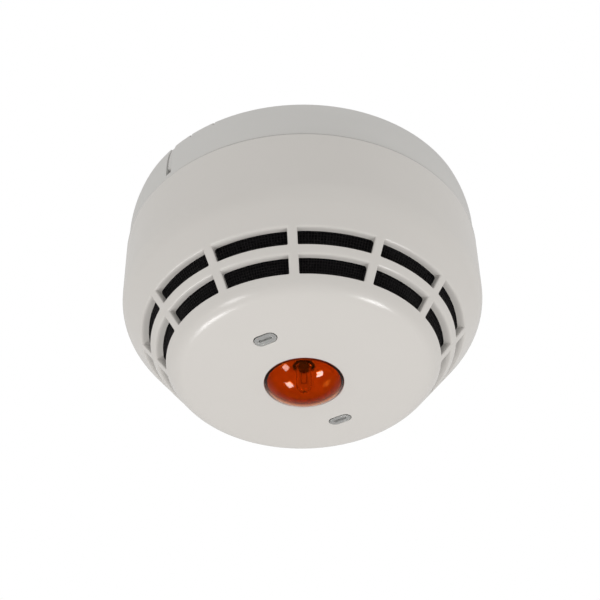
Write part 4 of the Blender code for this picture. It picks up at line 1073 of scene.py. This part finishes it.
@dataclass
class BaseMoulding:
    """Base with its drafted wall, back plate, bayonet hooks, terminal bosses and lock rails."""

    height: float = 15.2
    radius: float = 57.9
    wall: float = 2.85
    draft: float = 1.45
    draft_height: float = 9.0
    plate: float = 2.5
    edge_rounding: float = 0.5
    columns: int = 150
    entry_size: Plan = (22.0, 12.0)
    entry_offset: float = 15.0
    fixing_size: Plan = (10.0, 5.0)
    fixing_spacing: float = 60.0
    hook_angles: tuple[float, ...] = (30.0, 150.0, 270.0)
    hook_span: Plan = (8.0, 7.0)
    hook_levels: Plan = (10.4, 13.0)
    hook_reach: float = 6.5
    stop_angle: float = 3.0
    stop_top: float = 7.5
    stop_overlap: float = 0.6
    terminal_angles: tuple[float, ...] = (45.0, 135.0, 225.0, 315.0)
    terminal_circle: float = 36.0
    boss_size: Plan = (10.5, 11.0)
    boss_face: float = 5.7
    boss_chamfer: float = 0.3
    bore_radius: float = 1.7
    bore_floor: float = 1.3
    lock_angle: float = -132.9
    lock_slot: float = 2.4
    lock_end: float = 13.4
    lock_inner: float = 53.7
    rail_seat: float = 2.8
    rail_back: float = 52.95
    rail_thickness: float = 1.2
    rail_hold: float = 1.3
    rail_overlap: float = 0.01
    mark_angle: float = -120.0
    mark_spread: float = 4.6
    mark_size: Plan = (0.8, 1.6)
    mark_cut: float = 0.35
    lip_rounding: float = 0.3
    root_fillet: float = 0.8
    flute_size: Plan = (5.0, 1.6)
    flute_circle: float = 50.2
    flute_depth: float = 0.6
    ejector_radius: float = 2.0
    ejector_circle: float = 39.5
    ejector_depth: float = 0.15
    cut_margin: float = 1.0

    @property
    def inner(self) -> float:
        """Inner radius of the wall."""
        return self.radius - self.wall

    def outer(self, depth: float) -> float:
        """Outer radius, which narrows towards the ceiling in a soft curve."""
        share = max(0.0, 1.0 - depth / self.draft_height)
        return self.radius - self.draft * share ** 2

    def build(self) -> None:
        """Make the base."""
        mesh = Mesher()
        mesh.turned(self._profile(), self.columns, closed=False)
        base = mesh.finish("base_moulding")
        carve(base, self._fittings(), "UNION")
        carve(base, self._cuts(), "DIFFERENCE")
        soften(base.data, angle=32.0)
        settle(base, Body.BASE, "base_moulding", BASE_WHITE, "base_shell")

    def _profile(self) -> Outline:
        """Half section of the base, with a locating groove in its back and rounded edges."""
        groove, depth, slope = (44.0, 46.5), 0.5, 0.3
        top = self.edge_rounding * 0.8
        points = [(0.0, 0.0), (groove[0], 0.0), (groove[0] + slope, depth), (groove[1] - slope, depth),
                  (groove[1], 0.0)]
        points += arc_points((self.outer(top) - top, top), top, -90.0, 0.0, 4)
        points += [(self.outer(level), level) for level in (1.5, 3.0, 4.5, 6.0, 7.5, 9.0)]
        edge, lip, root = self.edge_rounding, self.lip_rounding, self.root_fillet
        points += arc_points((self.radius - edge, self.height - edge), edge, 0.0, 90.0, 5)
        points += arc_points((self.inner + lip, self.height - lip), lip, 90.0, 180.0, 3)
        points += arc_points((self.inner - root, self.plate + root), root, 0.0, -90.0, 3)
        return points + [(0.0, self.plate)]

    def _fittings(self) -> bpy.types.Object:
        """Hooks with their stops, terminal bosses and the lock's rails."""
        mesh = Mesher()
        inner, outer = self.inner - self.hook_reach, self.inner + self.wall / 2
        for angle in self.hook_angles:
            stop = angle + self.hook_span[1]
            outline = sector(inner, outer, angle - self.hook_span[0], stop + self.stop_angle, 12)
            mesh.prism(outline, *self.hook_levels)
            outline = sector(inner, outer, stop, stop + self.stop_angle, 2)
            mesh.prism(outline, self.stop_top, self.hook_levels[0] + self.stop_overlap)
        for angle in self.terminal_angles:
            full, slim = (turn_outline(rectangle(*(side - 2 * cut for side in self.boss_size)), angle,
                                       self.terminal_circle) for cut in (0.0, self.boss_chamfer))
            mesh.stack([(full, self.plate / 2), (full, self.boss_face - self.boss_chamfer),
                        (slim, self.boss_face)])
        root, back, lip = self.inner + self.wall / 3, self.rail_back, self.rail_back - self.rail_thickness
        seat, hold = self.rail_seat, self.rail_seat - self.rail_hold
        outside = seat + self.rail_thickness
        for side in (1, -1):
            for near, far, start in ((back - self.rail_overlap, root, seat), (lip, back, hold)):
                outline = [(near, start), (far, start), (far, outside), (near, outside)]
                outline = turn_outline([(x, side * y) for x, y in outline], self.lock_angle)
                mesh.prism(outline, self.plate / 2, self.lock_end)
        return mesh.finish("fittings")

    def _cuts(self) -> bpy.types.Object:
        """Cable entries, fixing slots, bores, the lock's slot, knock-out marks and back recesses."""
        mesh = Mesher()
        for side in (1, -1):
            self._opening(mesh, self.entry_size, (0.0, side * self.entry_offset))
            self._opening(mesh, self.fixing_size, (side * self.fixing_spacing / 2, 0.0))
        for angle in self.terminal_angles:
            bore = turn_outline(circle(self.bore_radius, 24), angle, self.terminal_circle)
            mesh.prism(bore, self.bore_floor, self.boss_face + self.plate)
        reach = self.wall * 2
        slot = turn_outline(rectangle(reach, self.lock_slot), self.lock_angle,
                            self.lock_inner + reach / 2)
        mesh.prism(slot, -self.plate, self.lock_end)
        inner = self.outer(0.0) - self.mark_cut
        for side in (1, -1):
            angle = self.mark_angle + side * self.mark_spread
            mark = turn_outline(rectangle(reach, self.mark_size[0]), angle, inner + reach / 2)
            mesh.prism(mark, -self.plate, self.mark_size[1])
        self._back_recesses(mesh)
        return mesh.finish("cuts")

    def _opening(self, mesh: Mesher, size: Plan, place: Plan, rounding: float = 0.4) -> None:
        """Cutter of a stadium through the plate, flared at both faces into rounded edges."""
        def outline(grow: float) -> Outline:
            """Stadium grown by a distance."""
            return [(x + place[0], y + place[1]) for x, y in stadium(size[0] + 2 * grow, size[1] + 2 * grow)]

        steps = edge_steps(rounding, 3)
        levels = [(outline(rounding), -self.cut_margin)] + [(outline(grow), sink) for grow, sink in steps]
        levels += [(outline(grow), self.plate - sink) for grow, sink in reversed(steps)]
        mesh.stack(levels + [(outline(rounding), self.plate + self.cut_margin)])

    def _back_recesses(self, mesh: Mesher) -> None:
        """Shallow radial flutes and ejector marks in the back face."""
        for index in range(12):
            angle = 15.0 + 30.0 * index
            flute = turn_outline(stadium(*self.flute_size, 6), angle, self.flute_circle)
            mesh.prism(flute, -self.cut_margin, self.flute_depth)
        for angle in (0.0, 90.0, 180.0, 270.0):
            mark = turn_outline(circle(self.ejector_radius, 24), angle + 22.5, self.ejector_circle)
            mesh.prism(mark, -self.cut_margin, self.ejector_depth)


@dataclass
class LockTab:
    """Slide in the base's wall, with a ribbed pad for a tool's tip."""

    base: BaseMoulding
    strip: Plan = (1.5, 5.0)
    clearance: float = 0.3
    recess: float = 0.25
    pad_top: float = 0.5
    pad_bottom: float = 10.7
    rib_pitch: float = 1.1
    rib_height: float = 0.14
    strip_gap: float = 0.5
    strip_rounding: float = 0.2
    pad_chamfer: float = 0.25
    pad_end: float = 0.3

    def build(self) -> None:
        """Make the slide."""
        low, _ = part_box("lock_slide")
        strip_bottom = -low.z / MM
        strip_top = self.base.plate + self.strip_gap
        back = self.base.inner - self.clearance
        mesh = Mesher()
        outline = turn_outline(rectangle(*self.strip), self.base.lock_angle, back - self.strip[0] / 2)
        mesh.soft_prism(outline, strip_top, strip_bottom, self.strip_rounding)
        slide = mesh.finish("lock_tab")
        carve(slide, self._pad(back - self.strip[0] / 2), "UNION")
        soften(slide.data, angle=35.0)
        settle(slide, Body.LOCK, "base_moulding", BASE_WHITE, "lock_slide")

    def _pad(self, root: float) -> bpy.types.Object:
        """Pad that fills the slot in the wall, with grip ribs across its face."""
        half, cut = self.base.lock_slot / 2 - self.clearance, self.pad_chamfer
        mesh, levels, steps = Mesher(), [], 60
        for index in range(steps + 1):
            share = index / steps
            depth = blend_values(self.pad_top, self.pad_bottom, share)
            rib = 0.5 - 0.5 * math.cos(2 * math.pi * depth / self.rib_pitch)
            end = min(1.0, min(share, 1 - share) * steps / 3)
            face = self.base.outer(depth) - self.recess - self.rib_height * rib - self.pad_end * (1 - end)
            outline = [(root, -half), (face - cut, -half), (face, cut - half), (face, half - cut),
                       (face - cut, half), (root, half)]
            levels.append((turn_outline(outline, self.base.lock_angle), depth))
        mesh.stack(levels)
        return mesh.finish("pad")


# Signal lamp

@dataclass
class SignalLamp:
    """Amber lens with its white bowl, and the filament lamp in it."""

    form: HeadForm
    columns: int = 96
    lens_radius: float = 12.2
    lens_rise: float = 5.0
    lens_wall: float = 0.7
    flange: float = 2.4
    flange_thickness: float = 1.2
    flange_chamfer: float = 0.2
    rim_softening: float = 0.15
    rim_land: Plan = (0.5, 0.12)
    gasket: float = 0.6
    clearance: float = 0.3
    bowl_lip: float = 0.25
    bowl_setback: float = 0.5
    bowl_depth: float = 6.0
    bowl_wall: float = 0.9
    bowl_chamfer: float = 0.1
    aperture: float = 3.6
    bulb_radius: float = 2.5
    bulb_wall: float = 0.4
    foot_rise: float = 1.0
    wire_spread: float = 0.85
    wire_radius: float = 0.13
    coil_radius: float = 0.18
    coil_wire: float = 0.05

    @property
    def rim(self) -> float:
        """Depth of the face at the lens's edge."""
        return self.form.face_depth(self.lens_radius + self.clearance)

    @property
    def dome(self) -> float:
        """Radius of the lens's dome."""
        return (self.lens_radius ** 2 + self.lens_rise ** 2) / (2 * self.lens_rise)

    @property
    def flange_bottom(self) -> float:
        """Depth of the lens flange's lower side."""
        seat = self.form.face_depth(self.lens_radius + self.flange, self.form.wall)
        return seat - self.gasket - 2 * self.clearance

    @property
    def bowl_back(self) -> float:
        """Depth of the bowl's back, at its aperture."""
        return self.rim - self.bowl_setback - self.bowl_depth - self.bowl_wall

    @property
    def foot_end(self) -> float:
        """Depth where the lamp's foot ends and its stem starts."""
        return self.bowl_back - self.clearance + self.foot_rise

    def build(self) -> None:
        """Make the lens, the bowl and the lamp."""
        self._lens()
        self._bowl()
        self._bulb()
        self._foot()
        self._wires()

    def _dome_points(self, radius: float, inset: float, steps: int) -> Outline:
        """Dome from a radius to the axis, at an inset."""
        centre = self.rim - math.sqrt(self.dome ** 2 - self.lens_radius ** 2)
        sphere = self.dome - inset
        last = math.asin(radius / sphere)
        angles = [last * (1 - index / steps) for index in range(steps + 1)]
        return [(sphere * math.sin(angle), centre + sphere * math.cos(angle)) for angle in angles]

    def _lens(self) -> None:
        """Dome lens with a softened rim and its flange."""
        outer = self._dome_points(self.lens_radius - self.rim_softening, 0.0, 28)
        inner = self._dome_points(self.lens_radius - self.lens_wall, self.lens_wall, 24)
        bottom = self.flange_bottom
        top = bottom - self.flange_thickness
        edge = self.lens_radius + self.flange
        inside = self.lens_radius - self.lens_wall
        cut = self.flange_chamfer
        profile = inner[::-1] + [(inside, top), (edge - cut, top), (edge, top + cut), (edge, bottom - cut),
                                 (edge - cut, bottom), (self.lens_radius, bottom)]
        profile += [(self.lens_radius, self.rim - land) for land in self.rim_land] + outer
        mesh = Mesher()
        mesh.turned(profile, self.columns, closed=False)
        settle(mesh.finish("lens_dome", smooth=30.0), Body.HEAD, "amber_lens", SIGNAL_AMBER, "signal_lens")

    def _bowl(self) -> None:
        """Deep white bowl with a chamfered lip, a skirt and a flange."""
        rim = self.flange_bottom - self.flange_thickness - self.clearance
        edge = self.lens_radius + self.flange
        skirt = self.lens_radius - self.lens_wall - self.clearance
        lip, lip_depth = skirt - self.bowl_lip, self.rim - self.bowl_setback
        bend = self.bowl_depth / (lip ** 2 - self.aperture ** 2)
        steps = 24
        bowl = []
        for index in range(steps + 1):
            radius = blend_values(lip, self.aperture, index / steps)
            bowl.append((radius, lip_depth - bend * (lip ** 2 - radius ** 2)))
        middle, cut = (skirt + self.aperture) / 2, self.bowl_chamfer
        profile = [(edge, rim), (skirt, rim), (skirt, lip_depth - cut), (skirt - cut, lip_depth)] + bowl
        profile += [(self.aperture, self.bowl_back), (middle, self.bowl_back),
                    (skirt, rim - self.bowl_wall), (edge, rim - self.bowl_wall)]
        mesh = Mesher()
        mesh.turned(profile, self.columns)
        settle(mesh.finish("lamp_bowl"), Body.HEAD, "reflector_coat", BOWL_COAT, "reflector")

    def _envelope(self, inset: float, rim: float, tip: float) -> Outline:
        """Bulb wall from its rim to a pointed tip, at an inset."""
        radius = self.bulb_radius - inset
        nib, nib_length, steps = 0.42 - inset * 0.7, 0.9, 14
        shoulder = tip - nib_length - inset
        points = [(radius, rim), (radius, (rim + shoulder) / 2)]
        height = self.bulb_radius * 1.05
        for index in range(steps + 1):
            angle = math.radians(90.0 * index / steps)
            points.append((nib + (radius - nib) * math.cos(angle),
                           shoulder - height + height * math.sin(angle)))
        points += [(nib * 0.75, shoulder + nib_length * 0.55), (nib * 0.35, shoulder + nib_length * 0.9),
                   (0.0, shoulder + nib_length)]
        return points

    def _bulb(self) -> None:
        """Glass envelope, closed at a sealed-off tip."""
        low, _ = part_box("lamp_glass")
        tip, rim = -low.z / MM, self.foot_end + self.clearance
        mesh = Mesher()
        profile = self._envelope(self.bulb_wall, rim, tip)[::-1] + self._envelope(0.0, rim, tip)
        mesh.turned(profile, 64, closed=False)
        settle(mesh.finish("bulb_envelope", smooth=60.0), Body.HEAD, "lamp_glass", BULB_GLASS, "lamp_glass")

    def _foot(self) -> None:
        """Ribbed foot that stands in the holder, with the stem that holds the wires."""
        _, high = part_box("lamp_base")
        top, radius, end = -high.z / MM, self.bulb_radius - 0.1, self.foot_end
        groove, ribs, stem, stem_length, cut = 0.2, 6, 1.5, 2.0, 0.15
        profile = [(0.0, top), (radius - groove, top), (radius, top + groove)]
        pitch = (end - 0.7 - top) / ribs
        for index in range(ribs):
            start = blend_values(top + 0.5, end - 0.2, index / ribs)
            profile += [(radius, start), (radius - groove, start + pitch * 0.3),
                        (radius - groove, start + pitch * 0.6), (radius, start + pitch * 0.9)]
        profile += [(radius, end - cut), (radius - cut, end), (stem, end), (stem, end + 1.7),
                    (stem - 0.3, end + stem_length), (0.0, end + stem_length)]
        mesh = Mesher()
        mesh.turned(profile, 48, closed=False)
        settle(mesh.finish("lamp_foot"), Body.HEAD, "black_plastic", DECK_BLACK, "lamp_base")

    def _wires(self) -> None:
        """Two support wires that carry a coiled filament."""
        low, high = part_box("lamp_filament")
        start, end = -high.z / MM, -low.z / MM
        rows = ((0.7, start), (1.0, start + 1.5), (1.0, end - 0.5), (0.75, end - 0.2))
        supports = [[(side * self.wire_spread * share, 0.0, depth) for share, depth in rows]
                    for side in (-1, 1)]
        turns, steps, reach, drop, rise = 7, 12, 0.75, 0.45, 0.25
        coil = []
        for index in range(turns * steps + 1):
            share = index / (turns * steps)
            swing = 2 * math.pi * index / steps
            arch = rise * math.sin(math.pi * share)
            coil.append((blend_values(-self.wire_spread, self.wire_spread, share) * reach,
                         self.coil_radius * math.cos(swing),
                         end - drop + arch + self.coil_radius * math.sin(swing)))
        wires = self._curve("lamp_wires", supports, self.wire_radius)
        settle(wires, Body.HEAD, "tungsten_wire", WIRE_TUNGSTEN, "lamp_filament")
        settle(self._curve("lamp_coil", [coil], self.coil_wire), Body.HEAD, "tungsten_wire", WIRE_TUNGSTEN)

    @staticmethod
    def _curve(name: str, routes: Sequence[Sequence[Point]], radius: float) -> bpy.types.Object:
        """Round wires along routes of (x, y, depth) points, as a mesh."""
        curve = bpy.data.curves.new(name, "CURVE")
        curve.dimensions = "3D"
        curve.bevel_depth = radius * MM
        curve.bevel_resolution = 3
        curve.use_fill_caps = True
        for route in routes:
            spline = curve.splines.new("POLY")
            spline.points.add(len(route) - 1)
            for point, (x, y, depth) in zip(spline.points, route):
                point.co = (x * MM, y * MM, -depth * MM, 1.0)
        guide = link_object(name + "_route", curve)
        mesh = bpy.data.meshes.new_from_object(guide.evaluated_get(bpy.context.evaluated_depsgraph_get()))
        bpy.data.objects.remove(guide, do_unlink=True)
        mesh.shade_smooth()
        made = link_object(name, mesh)
        weld_points(made, 1e-4)
        return made


@dataclass
class LightGuides:
    """Clear guides that bring the indicator light to the face."""

    cover: HeadCover
    size: Plan = (7.2, 3.7)
    flange: float = 1.2
    flange_thickness: float = 1.1
    clearance: float = 0.3
    rounding: float = 0.3
    pocket: Plan = (1.35, 0.7)
    pocket_draft: float = 0.05

    def build(self) -> None:
        """Make both guides."""
        for number, angle in enumerate(self.cover.window_angles, 1):
            _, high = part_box(f"light_guide_{number}")
            self._guide(number, angle, -high.z / MM)

    def _outline(self, angle: float, grow: float) -> Outline:
        """Stadium across the window's radius, grown by a distance."""
        outline = [(y, x) for x, y in stadium(self.size[0] + 2 * grow, self.size[1] + 2 * grow)]
        return turn_outline(outline, angle, self.cover.window_circle)

    def _guide(self, number: int, angle: float, top: float) -> None:
        """One guide, from the LED to the face, with a rounded end that follows the face."""
        form = self.cover.form
        seat = self.cover.window_circle + self.size[1] / 2 + self.flange
        bottom = form.face_depth(seat, form.wall) - self.clearance
        shelf = bottom - self.flange_thickness
        levels = [(0.0, top), (0.0, shelf), (self.flange, shelf), (self.flange, bottom), (0.0, bottom)]
        mesh = Mesher()
        rings = [mesh.level(self._outline(angle, grow), depth) for grow, depth in levels]
        inset, depth = self.pocket
        end = [(grow - self.rounding, sink) for grow, sink in reversed(edge_steps(self.rounding, 4))]
        for grow, sink in end + [(-inset, 0.0), (-inset - self.pocket_draft, depth)]:
            outline = self._outline(angle, grow)
            rings.append(mesh.loop((x, y, sink - form.face_depth(math.hypot(x, y))) for x, y in outline))
        mesh.chain(rings)
        mesh.cap(rings[0])
        mesh.cap(rings[-1])
        guide = mesh.finish(f"clear_guide_{number}")
        settle(guide, Body.HEAD, "clear_guide", GUIDE_CLEAR, f"light_guide_{number}")


# Studio

WARM_WHITE = (1.0, 0.99, 0.975, 1.0)
PURE_WHITE = (1.0, 1.0, 1.0, 1.0)
SENSOR_WIDTH = 36.0      # width of the camera's sensor in millimetres
FLOOR_COLOURS = ((0.80, 0.79, 0.78), (0.84, 0.83, 0.82))


@dataclass
class Studio:
    """Camera, lights, pale floor and white surroundings, with lengths in metres."""

    reach: float = 0.3491
    drop: float = 0.3369
    turn: float = 2.98
    rise: float = 41.14
    pan: float = -0.133
    roll: float = -1.014
    focal_length: float = 84.79
    floor_drop: float = 1.3
    floor_size: float = 6.0
    surround: float = 0.765
    mirrored: float = 0.62
    dark_below: Plan = (-0.45, 0.35)
    lamp_distance: float = 1.0
    lamp_side: float = 0.2
    least_mirrored: float = 0.6
    lamps: tuple[tuple[Point, float], ...] = (
        ((-0.58, -0.20, -0.79), 0.86), ((0.49, 0.02, -0.87), 1.62),
        ((-0.40, 0.40, -0.82), 1.27), ((0.58, 0.51, -0.63), 0.52))

    def build(self) -> None:
        """Set up the studio."""
        self._camera()
        self._lamps()
        self._surroundings()
        self._floor()

    def _turned(self) -> Matrix:
        """Turn of the studio about the vertical axis."""
        return Matrix.Rotation(math.radians(self.turn), 3, "Z")

    def _camera(self) -> None:
        """Camera below and in front of the detector."""
        data = bpy.data.cameras.new("camera")
        data.lens = self.focal_length
        data.sensor_width = SENSOR_WIDTH
        camera = link_object("camera", data)
        pan, rise, roll = (math.radians(value) for value in (self.pan, self.rise, self.roll))
        forward = Vector((math.sin(pan) * math.cos(rise), math.cos(pan) * math.cos(rise), math.sin(rise)))
        right = Vector((math.cos(pan), -math.sin(pan), 0.0))
        up = right.cross(forward)
        level_right = math.cos(roll) * right + math.sin(roll) * up
        level_up = math.cos(roll) * up - math.sin(roll) * right
        axes = Matrix((level_right, level_up, -forward)).transposed()
        placed = (self._turned() @ axes).to_4x4()
        placed.translation = self._turned() @ Vector((0.0, -self.reach, -self.drop))
        camera.matrix_world = placed
        bpy.context.scene.camera = camera

    def _lamps(self) -> None:
        """Square soft lamps under and beside the detector."""
        low, high = CAD_BOX
        middle = (Vector(low) + Vector(high)) / 2
        for number, (direction, power) in enumerate(self.lamps, 1):
            data = bpy.data.lights.new(f"lamp_{number}", "AREA")
            data.shape = "SQUARE"
            data.size = self.lamp_side
            data.energy = power
            lamp = link_object(f"lamp_{number}", data)
            away = (self._turned() @ Vector(direction)).normalized()
            lamp.location = middle + away * self.lamp_distance
            lamp.rotation_euler = away.to_track_quat("Z", "Y").to_euler()
            lamp.visible_camera = False
            lamp.visible_glossy = power > self.least_mirrored

    def _surroundings(self) -> None:
        """White to the camera, and softer as a light."""
        world = bpy.data.worlds.new("surroundings")
        world.use_nodes = True
        tree = world.node_tree
        light = tree.nodes["Background"]
        set_inputs(light, {"Color": WARM_WHITE, "Strength": self.surround})
        seen = set_inputs(tree.nodes.new("ShaderNodeBackground"), {"Color": PURE_WHITE})
        path = tree.nodes.new("ShaderNodeLightPath")
        mix = tree.nodes.new("ShaderNodeMixShader")
        tree.links.new(path.outputs["Is Camera Ray"], mix.inputs["Fac"])
        tree.links.new(self._graded(tree, light, path), mix.inputs[1])
        tree.links.new(seen.outputs["Background"], mix.inputs[2])
        tree.links.new(mix.outputs["Shader"], tree.nodes["World Output"].inputs["Surface"])
        bpy.context.scene.world = world
        bpy.context.scene.view_settings.view_transform = "Standard"

    def _graded(self, tree: bpy.types.NodeTree, light: bpy.types.Node,
                path: bpy.types.Node) -> bpy.types.NodeSocket:
        """Light all round, mirrored by glossy faces only from above the horizon.

        Args:
            tree: The world's nodes.
            light: Background that lights the object.
            path: Light Path node.

        Returns:
            Shader of the surroundings as a light.
        """
        place = tree.nodes.new("ShaderNodeTexCoord")
        parts = tree.nodes.new("ShaderNodeSeparateXYZ")
        grade = set_inputs(tree.nodes.new("ShaderNodeMapRange"), {
            "From Min": self.dark_below[0], "From Max": self.dark_below[1], "To Max": self.mirrored})
        above = set_inputs(tree.nodes.new("ShaderNodeBackground"), {"Color": WARM_WHITE})
        mix = tree.nodes.new("ShaderNodeMixShader")
        tree.links.new(place.outputs["Generated"], parts.inputs["Vector"])
        tree.links.new(parts.outputs["Z"], grade.inputs["Value"])
        tree.links.new(grade.outputs["Result"], above.inputs["Strength"])
        tree.links.new(path.outputs["Is Glossy Ray"], mix.inputs["Fac"])
        tree.links.new(light.outputs["Background"], mix.inputs[1])
        tree.links.new(above.outputs["Background"], mix.inputs[2])
        return mix.outputs["Shader"]

    def _floor(self) -> None:
        """Plain pale floor far below."""
        half = self.floor_size / 2
        build = bmesh.new()
        corners = [build.verts.new((x * half, y * half, -self.floor_drop))
                   for x, y in ((-1, -1), (1, -1), (1, 1), (-1, 1))]
        build.faces.new(corners)
        mesh = bpy.data.meshes.new("floor")
        build.to_mesh(mesh)
        build.free()
        floor = link_object("floor", mesh)
        nodes = NodeWriter("floor_paint")
        grain = nodes.effect(Effect.GRAIN, Grain_Scale=40.0, Mottle_Scale=3.0)
        nodes.paint(nodes.mix(grain.outputs["Mottle"], *FLOOR_COLOURS))
        nodes.fixed(Roughness=0.7)
        floor.data.materials.append(nodes.material)
        floor.visible_glossy = False


def write_sizes() -> None:
    """Bring the scene's evaluated state up to date."""
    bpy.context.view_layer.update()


def main() -> None:
    """Build the studio and every part of the detector."""
    logging.basicConfig(level=logging.INFO, format="%(name)s: %(message)s")
    Studio().build()
    form = HeadForm()
    cover = HeadCover(form)
    cover.build()
    VentMesh(form).build()
    base = BaseMoulding()
    base.build()
    LockTab(base).build()
    SignalLamp(form).build()
    LightGuides(cover).build()
    WARDROBE.dress_nodes()
    write_sizes()


if __name__ == "__main__":
    main()
